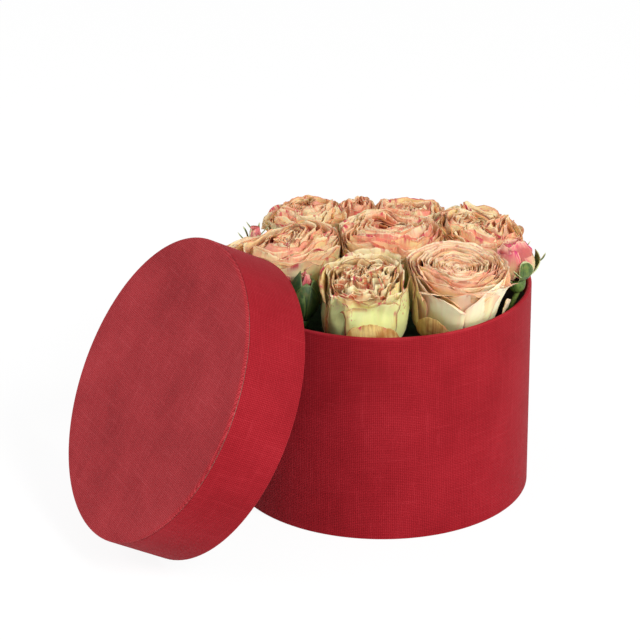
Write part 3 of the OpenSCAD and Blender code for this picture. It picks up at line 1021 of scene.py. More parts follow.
@dataclass
class Bloom:
    """The petals of one head, nested round its axis and squeezed by its neighbours.

    A band is the pair of shares of a petal's length between which a bend sets in. The
    swings are how much neighbouring petals differ by chance.
    """

    place: Place
    habit: Habit
    seed: int
    rows: int = 16
    thickness: float = 0.22 * MM
    golden_turn: float = math.radians(137.508)
    turn_swing: float = 0.15
    radius_swing: float = 0.006
    lip_band: tuple[float, float] = (0.78, 1.0)
    fold_band: tuple[float, float] = (0.55, 1.0)
    hood_band: tuple[float, float] = (0.6, 0.92)
    hood_growth_band: tuple[float, float] = (0.55, 0.8)
    roll_band: tuple[float, float] = (0.92, 1.0)
    foot_radius: float = 0.07
    foot_height: float = 0.10
    least_reach: float = 0.3 * MM
    least_radius: float = 0.4 * MM
    edge_width: float = 6.0 * MM
    neighbour_gap: float = 0.15 * MM
    wall_gap: float = 0.5 * MM
    wall_soft: float = 2.0 * MM

    def side_view(self, t: np.ndarray, share: np.ndarray) -> tuple[np.ndarray, np.ndarray]:
        """Gives a petal's side view as shares of its radius and height.

        A bowl is r = sin(pi t / 2) ** belly and z = (1 - cos(pi t / 2)) ** 0.85. A barrel
        draws in by its taper above the middle. A bud has its own radius and z = t ** 1.05.

        Args:
            t: Share along the petal, from its foot.
            share: Share of the petal from the middle of the head outwards.

        Returns:
            Shares of the radius and of the height.
        """
        quarter = np.clip(t, 0.0, 1.0) * math.pi / 2.0
        if self.habit.form is Form.BUD:
            radius = np.sin(quarter * 1.5) ** 0.55 * (1.0 - self.habit.taper * t**3)
            return radius, t**1.05
        radius = np.sin(quarter) ** self.habit.belly
        height = (1.0 - np.cos(quarter)) ** 0.85
        if self.habit.form is Form.BARREL:
            radius = radius * (1.0 - self.habit.taper * ease(t, 0.5, 1.0))
        return radius * (1.0 + self.habit.flare * share**2 * t**4), height

    def outline(self, rng: np.random.Generator, s: np.ndarray, u: np.ndarray) -> np.ndarray:
        """Gives the length of each petal across its width, as a share of its full length.

        The corners are shed by |u| ** 3.4, waves notch the edge and a small tip stands in
        the middle. A guard is rounder, by |u| ** 2.

        Args:
            rng: Source of the random numbers.
            s: Share of each petal from the middle of the head outwards.
            u: Place across the petal, -1 to 1.

        Returns:
            The shares, petals by 1 by columns.
        """
        h, count = self.habit, len(s)
        notches = waves(rng, count, u, 2.0, 6.0) + 0.7 * waves(rng, count, u, 7.0, 14.0)
        notch = h.notch * (0.4 + 0.6 * s) * notches
        tip = 0.025 * s * np.exp(-((u / 0.16) ** 2))
        outline = 1.0 - h.shed * (0.7 + s) * np.abs(u) ** 3.4 + notch + tip
        outline[h.petals:] -= 0.34 * np.abs(u[0]) ** 2.0
        return outline

    def bends(
        self,
        rng: np.random.Generator,
        s: np.ndarray,
        u: np.ndarray,
        v: np.ndarray,
        heading: np.ndarray,
        jitter: np.ndarray,
    ) -> tuple[np.ndarray, np.ndarray]:
        """Works out how far each point of a side view turns outwards.

        The lip of the outer petals turns out, the inner ones fold in, and on the side of
        the hood they turn further in and grow longer. A rolled edge ends every petal.

        Args:
            rng: Source of the random numbers.
            s: Share of each petal from the middle of the head outwards.
            u: Place across the petal, -1 to 1.
            v: Place along it, 0 to 1.
            heading: Direction of each petal, in radians.
            jitter: Chance of each petal, -1 to 1: rows 3 and 5 are used.

        Returns:
            The angle at each point, in radians, and how many times longer each step is.
        """
        h = self.habit
        away = np.angle(np.exp(1j * (heading - self.place.own(h.hood_turn))))
        side = away / math.radians(h.hood_width)
        over = np.exp(-(side**2)) * ease(s, 0.06, 0.22) * (1.0 - ease(s, 0.62, 0.86))
        lip = np.radians(h.curl) * ease(s, 0.45, 1.0) * (0.82 + 0.14 * jitter[3])
        lip = lip * (0.45 + 0.55 * np.abs(u + 0.25 * jitter[5]) ** 1.4)
        lip[h.petals:] *= 0.15
        fold = np.radians(h.fold) * (1.0 - s) ** 0.8 * (0.95 + 0.05 * jitter[3])
        hood = np.radians(h.hood) * over
        roll = np.radians(h.roll) * rng.uniform(0.1, 1.0, (len(s), 1, 1))
        roll = roll * (0.6 + 0.4 * np.sin(math.pi * (1.7 * u + 2.0 * jitter[3])))
        angle = lip * (1.0 - over) * ease(v, *self.lip_band) - fold * ease(v, *self.fold_band)
        angle = angle - hood * ease(v, *self.hood_band) + roll * ease(v, *self.roll_band)
        growth = 0.27 * np.radians(h.hood) * over * ease(v[:, 1:], *self.hood_growth_band)
        return angle, 1.0 + growth

    def petals(self, rng: np.random.Generator) -> dict[str, np.ndarray]:
        """Works out every petal of the head in its own frame.

        Petal k stands at k golden angles and its rim at radius R (m + (1 - m) s ** p),
        where s = (k + 0.5) / n. Its side view is bent, waves that grow with the fourth
        power of the height ruffle the rim, and it spans an angle that widens from its
        foot. Guards come last, each with its own heading, reach, height and width.

        Args:
            rng: Source of the random numbers.

        Returns:
            The grid of points and the marks at each point.
        """
        h = self.habit
        count = h.petals + len(h.guards)
        big_r = self.place.head_radius() * h.fullness
        big_h = self.place.height * MM
        k = np.arange(count)[:, None, None]
        u, v = sheet_places(self.rows, h.columns)
        v = 1.0 - (1.0 - v) ** 1.35
        s = np.minimum((k + 0.5) / h.petals, 1.0)
        jitter = rng.uniform(-1.0, 1.0, (6, count, 1, 1))
        heading = math.radians(self.place.spin) + self.golden_turn * k + self.turn_swing * jitter[4]
        rim_r = big_r * (h.middle + (1.0 - h.middle) * s**h.spread)
        rim_r = rim_r * (1.0 + self.radius_swing * jitter[0] * s)
        rise = (h.brim - h.cup) * ease(s, h.crest * 0.4, h.crest)
        fall = (h.drop + h.brim - 1.0) * ease(s, h.crest, h.shoulder)
        rim_z = big_h * (h.cup + rise - fall) * (1.0 + (0.012 + 0.03 * s**3) * jitter[1])
        half = np.radians(h.span + 58.0 * (1.0 - s) ** 2 + 8.0 * jitter[2])
        worn = np.zeros_like(s)
        for place, guard in enumerate(h.guards, h.petals):
            heading[place], half[place] = self.place.own(guard.turn), math.radians(guard.width)
            rim_r[place], rim_z[place] = big_r * guard.reach, big_h * guard.height
            worn[place] = guard.worn
        t = v * self.outline(rng, s, u)
        shape_r, shape_z = self.side_view(t, s)
        foot_r, foot_z = self.foot_radius * big_r, self.foot_height * big_h * (1.0 - s)
        r = foot_r + np.maximum(rim_r - foot_r, self.least_reach) * shape_r
        z = foot_z + (rim_z - foot_z) * shape_z
        r, z = bend(r, z, *self.bends(rng, s, u, v, heading, jitter))
        grow = np.clip(t, 0.0, 1.0) ** 4
        swing = h.ruffle * big_r * (0.2 + 0.8 * s**1.5)
        slow, quick = waves(rng, count, u, 0.8, 2.6), waves(rng, count, u, 3.5, 8.0)
        r = r + 0.55 * swing * grow * slow + 0.25 * swing * grow**2 * quick
        z = z + 0.6 * swing * grow * waves(rng, count, u, 0.8, 3.0)
        wrap = half * (0.42 + 0.58 * ease(t, 0.0, 0.55))
        r = r * (1.0 + h.spiral * u * t**1.5) * (1.0 + 0.08 * (half * u) ** 2 * t * s)
        least = self.least_radius
        r = np.where(r > 0.0, np.sqrt(r**2 + least**2), r - least)
        phi = heading + wrap * u
        r, phi, z = self.warp(r, phi, z, big_r)
        grid = self.churned(np.stack([r * np.cos(phi), r * np.sin(phi), z], axis=-1), rng, big_r)
        reach = np.minimum((1.0 - v) * rim_z * 1.2, (1.0 - np.abs(u)) * wrap * rim_r)
        full = np.ones_like(r)
        return {
            "grid": grid,
            "along": t * full,
            "edge": np.clip(reach / self.edge_width, 0.0, 1.0) * full,
            "share": s * full,
            "tone": rng.uniform(0.0, 1.0, (count, 1, 1)) * full,
            "worn": worn * full,
            "u": (0.5 + 0.5 * u) * full,
            "v": v * full,
        }

    def warp(
        self, r: np.ndarray, phi: np.ndarray, z: np.ndarray, big_r: float
    ) -> tuple[np.ndarray, np.ndarray, np.ndarray]:
        """Bends the whole head: lobes in its middle, an oval outline and one tall side.

        With x = r / R and w = 4 x (1 - x), the radius grows by 1 + d w cos(m (phi - p) +
        q x), the angle by 0.9 d w sin of the same, and the height by 1 + c x cos(phi -
        tall side). Pleats swing the radius of the inner half by 1 + e sin(n phi + 3 x).

        Args:
            r: Radius of each point.
            phi: Angle of each point.
            z: Height of each point.
            big_r: Radius of the head.

        Returns:
            The new radius, angle and height.
        """
        h = self.habit
        tall_side = self.place.own(h.tall_side)
        x = np.clip(np.abs(r) / big_r, 0.0, 1.0)
        hill = 4.0 * x * (1.0 - x)
        wave = h.lobes * (phi - math.radians(h.lobe_turn)) + h.lobe_twist * x
        bent = phi + h.lobe_depth * hill * np.sin(wave) * 0.9
        r = r * (1.0 + h.lobe_depth * hill * np.cos(wave))
        inner = h.pleat_depth * ease(x, 0.02, 0.2) * (1.0 - ease(x, 0.45, 0.8))
        r = r * (1.0 + inner * np.sin(h.pleats * phi + 3.0 * x))
        r = r * (1.0 + h.oval * np.cos(2.0 * (phi - tall_side)) * x)
        z = z * (1.0 + h.tall * x * np.cos(phi - tall_side))
        z = z * (1.0 + 0.10 * h.lobe_depth * hill * np.cos(wave))
        return r, bent, z

    def churned(self, grid: np.ndarray, rng: np.random.Generator, big_r: float) -> np.ndarray:
        """Bends the whole head like dough, so that neighbouring petals fold together.

        For each of three sizes of wave, with share a and length L of the radius R, sines
        are added up: push = a R sum d_i sin(2 pi k_i . p / (L R) + q_i), where k_i and d_i
        are random unit directions. All fade to nothing at the foot, and the longest also
        fade to half at the outside.

        Args:
            grid: Points in the head's own frame.
            rng: Source of the random numbers.
            big_r: Radius of the head.

        Returns:
            The pushed points.
        """
        h = self.habit
        lift = ease(grid[..., 2] / (self.place.height * MM), 0.15, 0.75)
        out = np.clip(np.hypot(grid[..., 0], grid[..., 1]) / big_r, 0.0, 1.0)
        push = np.zeros_like(grid)
        sizes = ((4, h.churn, 1.3, 0.5), (6, h.wrinkle, 0.5, 0.2), (7, h.crumple, 0.19, 0.0))
        for count, share, length, fade in sizes:
            wave_way, push_way = random_ways(rng, count, 0.45), random_ways(rng, count, 0.5)
            pitch = 2.0 * math.pi / (big_r * length * rng.uniform(0.75, 1.35, count))
            wave = np.sin((grid @ wave_way.T) * pitch + rng.uniform(0.0, 2.0 * math.pi, count))
            push += (share * big_r * (1.0 - fade * out**2))[..., None] * (wave @ push_way)
        return grid + push * lift[..., None]

    def squeeze(self, points: np.ndarray, others: list[Place]) -> np.ndarray:
        """Presses the head's sides flat where it meets its neighbours and the wall.

        The limit against a neighbour is the head's share of the distance, by radius, and
        below the rim it is the mouth of the box, which opens by 7 mm above it.

        Args:
            points: Points in the box's frame, last axis 3.
            others: The other heads.

        Returns:
            The pressed points.
        """
        out = points.copy()
        here, radius = self.place.middle(), self.place.head_radius()
        for other in others:
            toward = other.middle()[:2] - here[:2]
            distance = float(np.linalg.norm(toward))
            toward = toward / distance
            limit = distance * radius / (radius + other.head_radius()) - self.neighbour_gap
            along = (out[..., :2] - here[:2]) @ toward
            shift = press(along, limit, 0.12 * radius) - along
            out[..., :2] += shift[..., None] * toward
        flat = np.linalg.norm(out[..., :2], axis=-1)
        over = np.clip((out[..., 2] - self.place.box_height - 1.5 * MM) / (9.0 * MM), 0.0, 1.0)
        limit = self.place.mouth - self.wall_gap + 7.0 * MM * over
        held = press(flat, limit, self.wall_soft)
        out[..., :2] *= (held / np.maximum(flat, 1e-9))[..., None]
        return out

    def build(self, finish: PetalFinish, others: list[Place]) -> bpy.types.Object:
        """Builds the head, dresses it and lets it ride.

        Args:
            finish: The petals' colours.
            others: The heads that press against this one.

        Returns:
            The piece, which stands for the head's petal solid.
        """
        made = self.petals(np.random.default_rng(self.seed))
        grid = self.squeeze(self.place.to_box(made["grid"]), others)
        thin = self.thickness * (1.0 - 0.6 * made["v"] ** 3)
        points, faces = thicken(grid, thin)
        marks = ("along", "edge", "share", "tone", "worn")
        twice = {key: np.tile(made[key].ravel(), 2) for key in marks}
        twice["inner"] = np.repeat([0.0, 1.0], made["u"].size)
        uv = np.tile(np.stack([made["u"].ravel(), made["v"].ravel()], axis=-1), (2, 1))
        piece = make_mesh(f"{self.place.name}_bloom", points, faces, uv, twice)
        finish.dress(piece)
        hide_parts(f"{self.place.name}_petals")
        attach(piece, "arrangement")
        log.info("%s: %d petals, %d faces", piece.name, self.habit.petals, len(faces))
        return piece


def blades(
    foot: np.ndarray,
    out: np.ndarray,
    length: np.ndarray,
    width: np.ndarray,
    start: np.ndarray,
    end: np.ndarray,
    cup: float,
    rows: int = 12,
    columns: int = 7,
) -> np.ndarray:
    """Works out a family of leaf-like blades.

    A blade's midline leaves its foot at the start angle above level and bends evenly to
    the end angle: c(v) = foot + length * integral of (cos a out + sin a up). Its half
    width is width * (1 - v) ** 0.75 * (0.55 + 1.4 v) and its sides rise by the cup.

    Args:
        foot: Foot of each blade, n by 3.
        out: Level unit direction of each, n by 3.
        length: Length of each.
        width: Half width of each.
        start: Angle above level at the foot, in radians.
        end: Angle at the tip.
        cup: Rise of the sides as a share of the half width.
        rows: Rows along a blade.
        columns: Columns across it.

    Returns:
        Points, blades by rows by columns by 3.
    """
    u, v = sheet_places(rows, columns)
    angle = start[:, None, None] + (end - start)[:, None, None] * v
    step = length[:, None, None] / (rows - 1)
    up = np.array([0.0, 0.0, 1.0])
    side = np.cross(up, out)
    steps_out, steps_up = step * np.cos(angle), step * np.sin(angle)
    run, lift = summed(steps_out[:, :-1]), summed(steps_up[:, :-1])
    half = width[:, None, None] * (1.0 - v) ** 0.75 * (0.55 + 1.4 * v) + 0.06 * MM
    rise = cup * half * u**2
    run = run - rise * np.sin(angle)
    lift = lift + rise * np.cos(angle)
    return (
        foot[:, None, None, :]
        + run[..., None] * out[:, None, None, :]
        + lift[..., None] * up
        + (half * u)[..., None] * side[:, None, None, :]
    )


def join_families(
    name: str,
    parts: list[tuple[np.ndarray, np.ndarray]],
    marks: list[dict[str, np.ndarray]],
    uvs: list[np.ndarray],
) -> bpy.types.Object:
    """Joins several families of points and faces into one object.

    Args:
        name: Name of the piece.
        parts: Points and faces of each family.
        marks: Marks of each family.
        uvs: Pattern places of each family.

    Returns:
        The object.
    """
    shifts = np.cumsum([0] + [len(p) for p, _ in parts[:-1]])
    points = np.concatenate([p for p, _ in parts])
    faces = np.concatenate([f + s for (_, f), s in zip(parts, shifts)])
    joined = {key: np.concatenate([m[key] for m in marks]) for key in marks[0]}
    return make_mesh(name, points, faces, np.concatenate(uvs), joined)


@dataclass
class Calyx:
    """The hip under a head and its five sepals, turned back or hugging a bud.

    Where hug_radius, the radius of a bud, isn't 0, the sepals hug it: cover is the share
    of its height that they reach, grip half the angle that each spans, in radians, flare
    how far the tips stand off, and taper how much the bud draws in.
    """

    place: Place
    seed: int
    hip_radius: float = 5.5 * MM
    hip_height: float = 9.0 * MM
    sepal_length: float = 11.0 * MM
    sepal_width: float = 3.4 * MM
    hug_radius: float = 0.0
    cover: float = 0.8
    grip: float = 0.5
    flare: float = 3.0 * MM
    taper: float = 0.55
    lobed: bool = True
    sepals: int = 5
    first: float = 0.0
    sepal_thickness: float = 0.5 * MM
    lobe_thickness: float = 0.3 * MM

    def hip(self) -> tuple[np.ndarray, np.ndarray]:
        """Turns the hip: an egg from its neck to its shoulder, closed at both ends.

        Returns:
            Points and faces.
        """
        angle = np.radians(np.linspace(90.0, 0.0, 10))
        neck = 0.3 * self.hip_radius
        radius = neck + (self.hip_radius - neck) * np.cos(angle)
        side = np.stack([radius, -self.hip_height * np.sin(angle)], axis=-1)
        tiny = 0.01 * MM
        top = [[self.hip_radius * 0.8, 0.8 * MM], [tiny, 1.0 * MM]]
        return turned(np.concatenate([[[tiny, -self.hip_height]], side, top]), 32)

    def hugging(
        self, turn: np.ndarray, rng: np.random.Generator, rows: int = 14, columns: int = 9
    ) -> np.ndarray:
        """Works out sepals that hug a bud, as a share of its height, and flare at the tip.

        With t = cover * v, the radius is the bud's own, B sin(3 pi t / 4) ** 0.55 (1 -
        taper t ** 3), a little larger, and the upper half leaves it by flare (2 v - 1) ** 2.
        The half angle is grip (1 - v) ** 0.6 (0.75 + 0.9 v).

        Args:
            turn: Heading of each sepal.
            rng: Source of the random numbers.
            rows: Rows along a sepal.
            columns: Columns across it.

        Returns:
            Points, sepals by rows by columns by 3.
        """
        n = len(turn)
        u, v = sheet_places(rows, columns)
        t = self.cover * v * rng.uniform(0.85, 1.12, (n, 1, 1))
        turn_up = np.clip(1.5 * t * math.pi / 2.0, 0.0, math.pi)
        bud = self.hug_radius * np.sin(turn_up) ** 0.55 * (1.0 - self.taper * np.clip(t, 0.0, 1.0) ** 3)
        radius = np.maximum(1.06 * bud + 0.6 * MM, self.hip_radius * 0.8 * (1.0 - v))
        away = np.clip((v - 0.5) / 0.5, 0.0, 1.0) ** 2 * self.flare * rng.uniform(-0.1, 1.6, (n, 1, 1))
        half = self.grip * rng.uniform(0.8, 1.2, (n, 1, 1)) * (1.0 - v) ** 0.6 * (0.75 + 0.9 * v) + 0.02
        bend = 0.25 * rng.uniform(-1.0, 1.0, (n, 1, 1)) * v**2
        phi = turn[:, None, None] + half * u + bend
        radius = radius + away + 0.25 * MM * u**2
        height = self.place.height * MM * t**1.05 - 0.35 * np.abs(away)
        level = height * np.ones_like(phi)
        return np.stack([radius * np.cos(phi), radius * np.sin(phi), level], axis=-1)

    def lobes(
        self, rng: np.random.Generator, grid: np.ndarray, out: np.ndarray, length: np.ndarray
    ) -> np.ndarray:
        """Works out two narrow side lobes on each sepal.

        Args:
            rng: Source of the random numbers.
            grid: Points of the sepals, sepals by rows by columns by 3.
            out: Level unit direction of each sepal.
            length: Length of each sepal.

        Returns:
            Points of the lobes, lobes by rows by columns by 3.
        """
        count = 2 * self.sepals
        row = rng.integers(4, 9, count)
        owner = np.repeat(np.arange(self.sepals), 2)
        side = np.tile([-1, 1], self.sepals)
        column = np.where(side < 0, 1, grid.shape[2] - 2)
        across = np.cross(np.array([0.0, 0.0, 1.0]), out[owner]) * side[:, None]
        away = out[owner] * 0.35 + across * 0.9
        away = away / np.linalg.norm(away, axis=1, keepdims=True)
        rise = np.radians(60.0) if self.hug_radius else np.radians(-30.0)
        return blades(
            grid[owner, row, column],
            away,
            length=0.58 * length[owner] * rng.uniform(0.6, 1.1, count),
            width=np.full(count, 0.22 * self.sepal_width),
            start=np.full(count, rise * 0.6),
            end=np.full(count, rise),
            cup=0.1,
            rows=7,
            columns=3,
        )

    def build(self, finish: SepalFinish) -> bpy.types.Object:
        """Builds hip, sepals and their side lobes as one piece.

        Args:
            finish: The greens.

        Returns:
            The piece, which stands for the calyx solid.
        """
        rng = np.random.default_rng(self.seed)
        n = self.sepals
        even = self.place.own(self.first) + np.arange(n) * 2.0 * math.pi / n
        turn = even + rng.uniform(-0.15, 0.15, n)
        out = np.stack([np.cos(turn), np.sin(turn), 0.0 * turn], axis=-1)
        length = self.sepal_length * rng.uniform(0.85, 1.12, n)
        width = np.full(n, self.sepal_width)
        start, end = np.radians(rng.uniform(5.0, 20.0, n)), np.radians(rng.uniform(-80.0, -50.0, n))
        foot = out * self.hip_radius * 0.82
        if self.hug_radius:
            grid = self.hugging(turn, rng)
        else:
            grid = blades(foot, out, length, width, start, end, 0.35)
        families = [(grid, self.sepal_thickness)]
        if self.lobed:
            families.append((self.lobes(rng, grid, out, length), self.lobe_thickness))
        parts, marks, uvs = [], [], []
        for family, thick in families:
            shape = family.shape[:3]
            sheets, rows, columns = shape
            u, v = (np.broadcast_to(place, shape) for place in sheet_places(rows, columns))
            points, faces = thicken(family[:, :, ::-1], np.full(shape, thick))
            parts.append((self.place.to_box(points), faces))
            edge = np.minimum(1.0 - np.abs(u), 1.3 * (1.0 - v))
            tone = rng.uniform(0.0, 1.0, (sheets, 1, 1)) * np.ones_like(u)
            held = {"edge": edge, "along": v, "tone": tone}
            marks.append({key: np.tile(value.ravel(), 2) for key, value in held.items()})
            uvs.append(np.tile(np.stack([(0.5 + 0.5 * u).ravel(), v.ravel()], axis=-1), (2, 1)))
        points, faces = self.hip()
        parts.append((self.place.to_box(points), faces))
        levels = {"edge": 1.0, "along": 0.2, "tone": 0.4}
        marks.append({key: np.full(len(points), level) for key, level in levels.items()})
        uvs.append(np.stack([np.arctan2(points[:, 1], points[:, 0]), points[:, 2] * 100.0], axis=-1))
        piece = join_families(f"{self.place.name}_sepals", parts, marks, uvs)
        finish.dress(piece)
        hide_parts(f"{self.place.name}_calyx")
        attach(piece, "arrangement")
        log.info("%s: %d sepals", piece.name, n)
        return piece


@dataclass(frozen=True)
class Flower:
    """One head: its place, its habit, its colours and the seed of its small differences.

    On a bud, cover is how far its sepals reach up it, grip half the angle that each
    spans, in radians, flare how far their tips stand off, in millimetres, and
    sepal_turn the heading of the first.
    """

    place: Place
    habit: Habit
    colours: str
    seed: int
    cover: float = 0.8
    grip: float = 0.5
    flare: float = 3.0
    sepal_turn: float = 0.0

    @property
    def shut(self) -> bool:
        """Whether the sepals close round the bud, from a grip of 1."""
        return self.grip >= 1.0


ROSE_HEIGHT = 43.0
FULL = Habit(petals=100, columns=27, cup=0.98, fold=60.0, lobes=3, lobe_depth=0.14, pleat_depth=0.05)
BUD = Habit(
    petals=7, form=Form.BUD, drop=0.2, middle=0.3, curl=5.0, fold=0.0, ruffle=0.04, lobe_depth=0.0
)
FLOWERS: list[Flower] = [
    Flower(
        Place("rose_1", 133, 0.757, 0.260, 29, 6, 135, 20, ROSE_HEIGHT),
        Habit(flare=0.0, hood=55.0, hood_turn=60.0, ruffle=0.045), "cream", 11,
    ),
    Flower(
        Place("rose_2", 71, 0.621, 0.258, 28, 4, 80, 200, ROSE_HEIGHT),
        Habit(fold=65.0, hood=75.0, hood_turn=80.0, hood_width=80.0, lobes=3), "apricot", 12,
    ),
    Flower(
        Place("rose_3", 185, 0.656, 0.368, 30, 0, 0, 212, ROSE_HEIGHT),
        replace(
            FULL, flare=0.0, drop=0.14, hood=72.0, hood_turn=150.0, hood_width=95.0, lobe_turn=30.0,
            tall=-0.16, tall_side=150.0,
        ), "cream", 13,
    ),
    Flower(
        Place("rose_4", 349, 0.058, 0.345, 36, 0, 0, 250, ROSE_HEIGHT),
        replace(FULL, flare=0.05, drop=0.18, hood=78.0, hood_turn=60.0, hood_width=85.0, tall=0.05),
        "apricot", 14,
    ),
    Flower(
        Place("rose_5", 18, 0.694, 0.300, 31, 5, 20, 300, ROSE_HEIGHT),
        Habit(
            flare=-0.04, drop=0.14, fullness=1.0, ruffle=0.035, churn=0.08, wrinkle=0.03, lobe_depth=0.18,
            pleats=8, pleat_depth=0.2, tall=0.11, tall_side=110.0,
        ), "cream", 15,
    ),
    Flower(
        Place("rose_6", 259, 0.664, 0.315, 28, 5, 262, 80, ROSE_HEIGHT),
        Habit(
            petals=74, columns=37, form=Form.BARREL, belly=0.18, taper=0.13, cup=0.98, brim=1.08, drop=0.05,
            crest=0.5, shoulder=0.8, spread=0.9, fullness=0.99, span=64.0, curl=26.0, fold=52.0, hood=50.0,
            hood_turn=82.0, hood_width=65.0, shed=0.05, ruffle=0.022, churn=0.06, wrinkle=0.028, lobes=2,
            lobe_depth=0.10, lobe_turn=170.0, pleats=11, pleat_depth=0.17, tall=0.12, tall_side=80.0,
            guards=(Guard(276.0, 0.66, 36.0, 1.0, 1.2),),
        ), "golden", 16,
    ),
    Flower(
        Place("rose_7", 314, 0.706, 0.312, 31, 14, 290, 130, ROSE_HEIGHT),
        Habit(
            belly=0.26, flare=0.0, cup=0.96, drop=0.07, crest=0.7, spread=0.82, span=76.0, curl=86.0,
            fold=38.0, notch=0.01, ruffle=0.045, churn=0.035, wrinkle=0.014, crumple=0.004,
            lobe_depth=0.05, tall=-0.12, tall_side=100.0,
            guards=(
                Guard(247.0, 0.52, 27.0, 1.0, 1.2),
                Guard(214.0, 0.6, 14.0, 0.6, 1.12),
                Guard(350.0, 0.5, 10.0, 0.25, 1.12),
            ),
        ), "pale", 17,
    ),
    Flower(
        Place("rose_8", 101, 0.792, 0.136, 23, 0, 0, 40, 30.0),
        Habit(petals=34, drop=0.2, ruffle=0.08), "flushed", 18,
    ),
    Flower(
        Place("bud_1", 346, 0.920, 0.130, 31, 8, 150, 60, 24.0),
        replace(BUD, petals=11, taper=0.55, cup=1.0, drop=0.25, fullness=1.38, curl=35.0, ruffle=0.05),
        "rosy", 19, cover=0.8, grip=0.36, flare=8.0, sepal_turn=-62.0,
    ),
    Flower(
        Place("bud_2", 226, 0.762, 0.090, 24, 3, 45, 200, 30.0),
        replace(BUD, taper=0.8, cup=0.84, fullness=1.25),
        "rosy", 20, cover=0.92, grip=1.5, flare=0.8, sepal_turn=-80.0,
    ),
    Flower(
        Place("bud_3", 157, 0.940, 0.080, 20, 7, 170, 100, 22.0),
        replace(BUD, taper=0.6, cup=0.78, fullness=0.85),
        "rosy", 21, cover=0.95, grip=0.11, flare=7.0,
    ),
]


@dataclass
class Arrangement:
    """Foam, stems and every head. The liner keeps the material that comes with the frame."""

    flowers: list[Flower]
    calyx_seed: int = 40

    def build(self, nodes: dict[str, bpy.types.Object]) -> None:
        """Builds the heads and dresses the stems and the foam.

        Args:
            nodes: The solids, by name.
        """
        places = [flower.place for flower in self.flowers]
        green = SepalFinish("sepal_green")
        shut = replace(
            green, name="sepal_shut", dark=tint(34, 58, 22), light=tint(68, 94, 38), rim=tint(104, 122, 62),
            blush_amount=0.2,
        )
        for flower in self.flowers:
            place = flower.place
            others = [other for other in places if other is not place]
            Bloom(place, flower.habit, flower.seed).build(FINISHES[flower.colours], others)
            self.calyx(flower).build(shut if flower.shut else green)
        stem = GrainFinish(
            "stem_green", tint(70, 98, 40), tint(124, 146, 70), fine=900.0, slow=60.0, rough=0.5,
            relief=0.08 * MM,
        )
        foam = GrainFinish(
            "foam_green", tint(34, 58, 34), tint(64, 96, 58), fine=2600.0, slow=140.0, rough=0.95,
            relief=0.4 * MM,
        )
        for name, node in nodes.items():
            if name.endswith("_stem"):
                stem.dress(node)
        foam.dress(nodes["floral_foam"])
        log.info("arrangement: %d heads", len(self.flowers))

    def calyx(self, flower: Flower) -> Calyx:
        """Gives a head's calyx: sepals turned back under a rose, or hugging a bud.

        Args:
            flower: The head.

        Returns:
            The calyx, not yet built.
        """
        place, seed = flower.place, flower.seed + self.calyx_seed
        if flower.habit.form is not Form.BUD:
            length = 11.0 * MM if place.height >= ROSE_HEIGHT else 5.0 * MM
            return Calyx(place, seed, sepal_length=length)
        radius = place.head_radius()
        hip = radius * 0.5
        return Calyx(
            place,
            seed,
            hip_radius=hip,
            hip_height=hip * 1.3,
            sepal_length=place.height * 0.8 * MM,
            sepal_width=radius * 0.5,
            hug_radius=radius * flower.habit.fullness,
            cover=flower.cover,
            grip=flower.grip,
            flare=flower.flare * MM,
            taper=flower.habit.taper,
            lobed=not flower.shut,
            first=flower.sepal_turn,
        )


@dataclass
class ClothBox:
    """The cloth and board of the box and of its leaning lid.

    The lid leans as its solids do, in degrees. The wall's cloth carries a painted highlight
    between two heights, at the rim. The paper pieces keep the materials that come with the frame.
    """

    lid_centre: tuple[float, float, float] = (-99.71 * MM, -79.49 * MM, 81.138 * MM)
    lid_lean: float = 61.9
    lid_toward: float = 204.4
    # Heights of the painted highlight along the top of the wall's rim.
    highlight_from: float = 128.2 * MM
    highlight_to: float = 130.2 * MM
    deep: Colour = tint(124, 9, 19)
    body: Colour = tint(157, 20, 33)
    crown: Colour = tint(184, 50, 60)

    def build(self, nodes: dict[str, bpy.types.Object]) -> None:
        """Dresses the box and the lid.

        Args:
            nodes: The solids, by name.
        """
        wall = ClothFinish(
            "cloth_wall", Wrap.ROUND, self.deep, self.body, self.crown,
            highlight_from=self.highlight_from, highlight_to=self.highlight_to,
        )
        rim = replace(
            wall, name="cloth_lid_rim", threads_round=502, centre=self.lid_centre, lean=self.lid_lean,
            toward=self.lid_toward, highlight_from=1.0, highlight_to=2.0,
        )
        # The lid face is a lit copy of the same cloth: its lighter colours are painted light for the face
        # that turns to the lamps.
        face = replace(
            rim, name="cloth_lid_face_lit", wrap=Wrap.FLAT, deep=tint(118, 22, 28), body=tint(172, 42, 49),
            crown=tint(194, 80, 86), sheen=0.14,
        )
        board = GrainFinish(
            "grey_board", tint(122, 112, 98), tint(158, 148, 132), fine=1500.0, slow=90.0, rough=0.95,
            relief=0.12 * MM,
        )
        dressed = {
            wall: ("wall_wrap",),
            rim: ("lid_rim_wrap",),
            face: ("lid_face_cover",),
            board: ("base_board", "wall_board", "lid_board", "lid_rim_board"),
        }
        for finish, names in dressed.items():
            for name in names:
                finish.dress(nodes[name])
        log.info("cloth box: %d pieces dressed", sum(len(names) for names in dressed.values()))


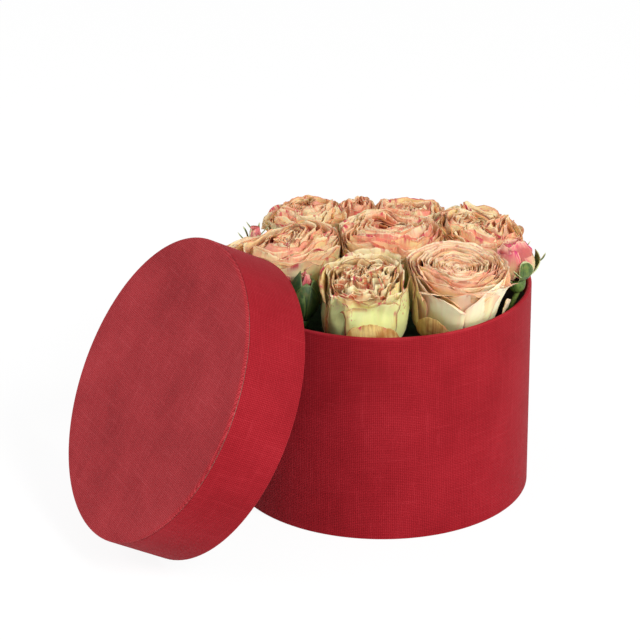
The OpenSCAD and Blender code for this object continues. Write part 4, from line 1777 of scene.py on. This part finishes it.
@dataclass
class Studio:
    """Floor, lamps, world and camera.

    The floor glows in part, so that it looks white and still holds a shadow. The world
    lights the box by the ambient strength, and looks white.
    """

    floor_half: float = 4.0
    floor_glow: float = 1.05
    floor_glow_share: float = 0.86
    ambient: float = 0.34
    camera_at: tuple[float, float, float] = (-0.03686, -1.9408, 0.9535)
    camera_tilt: float = 66.32
    lens: float = 197.77

    def floor(self) -> None:
        """Lays a pale floor that shows white to the camera and keeps the shadow."""
        half = self.floor_half
        corners = [[-half, -half, 0.0], [half, -half, 0.0], [half, half, 0.0], [-half, half, 0.0]]
        floor = make_mesh("floor", np.array(corners), np.array([[0, 1, 2, 3]]))
        material = bpy.data.materials.new("floor_pale")
        material.use_nodes = True
        g = Graph(material.node_tree)
        skin = material.node_tree.nodes["Principled BSDF"]
        pale = g.mix(g.noise(g.place(), 30.0), tint(246, 246, 246), tint(252, 252, 252))
        g.fill(skin, {"Base Color": pale, "Roughness": 0.9, "Specular IOR Level": 0.1})
        glow = g.add("ShaderNodeEmission")
        g.fill(glow, {"Strength": self.floor_glow})
        blend = g.add("ShaderNodeMixShader")
        share = g.times(g.seen(), self.floor_glow_share)
        for socket, value in zip(blend.inputs, (share, skin.outputs[0], glow.outputs[0])):
            g.put(socket, value)
        g.put(material.node_tree.nodes["Material Output"].inputs["Surface"], blend.outputs[0])
        floor.data.materials.append(material)

    def lamp(self, name: str, at: tuple[float, float, float], size: float, power: float) -> None:
        """Hangs a square soft lamp that faces the box.

        Args:
            name: Name of the lamp.
            at: Where it hangs.
            size: Length of its side.
            power: Power in watts.
        """
        data = bpy.data.lights.new(name, "AREA")
        data.size, data.energy = size, power
        lamp = bpy.data.objects.new(name, data)
        lamp.location = at
        lamp.rotation_euler = (Vector((0.0, 0.0, 0.1)) - Vector(at)).to_track_quat("-Z", "Y").to_euler()
        bpy.context.scene.collection.objects.link(lamp)

    def world(self) -> None:
        """Makes a world that looks white and lights softly from all round."""
        world = bpy.data.worlds.new("studio")
        world.use_nodes = True
        g = Graph(world.node_tree)
        ground = world.node_tree.nodes["Background"]
        strength = g.plus(self.ambient, g.times(g.seen(), 1.0 - self.ambient))
        g.fill(ground, {"Strength": strength, "Color": (1.0, 1.0, 1.0, 1.0)})
        bpy.context.scene.world = world

    def camera(self) -> None:
        """Sets the camera at the eye's place, looking level in azimuth and down at the box."""
        data = bpy.data.cameras.new("eye")
        data.lens, data.sensor_width = self.lens, 36.0
        data.clip_end = 50.0
        eye = bpy.data.objects.new("eye", data)
        eye.location = self.camera_at
        eye.rotation_euler = (math.radians(self.camera_tilt), 0.0, 0.0)
        bpy.context.scene.collection.objects.link(eye)
        bpy.context.scene.camera = eye

    def build(self) -> None:
        """Makes the whole studio."""
        self.floor()
        self.world()
        self.lamp("key", (1.15, -1.55, 1.5), 0.9, 47.0)
        self.lamp("fill", (-1.9, -0.4, 1.15), 1.2, 18.0)
        self.camera()
        bpy.context.scene.view_settings.view_transform = "Standard"
        log.info("studio: floor, two lamps, world and camera")


def main() -> None:
    """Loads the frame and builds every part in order."""
    logging.basicConfig(level=logging.INFO, format="%(name)s: %(message)s")
    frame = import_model()
    GROUPS.update(weave=weave_group(), petal=petal_group(), speckle=speckle_group())
    Studio().build()
    ClothBox().build(frame["nodes"])
    Arrangement(FLOWERS).build(frame["nodes"])


if __name__ == "__main__":
    main()
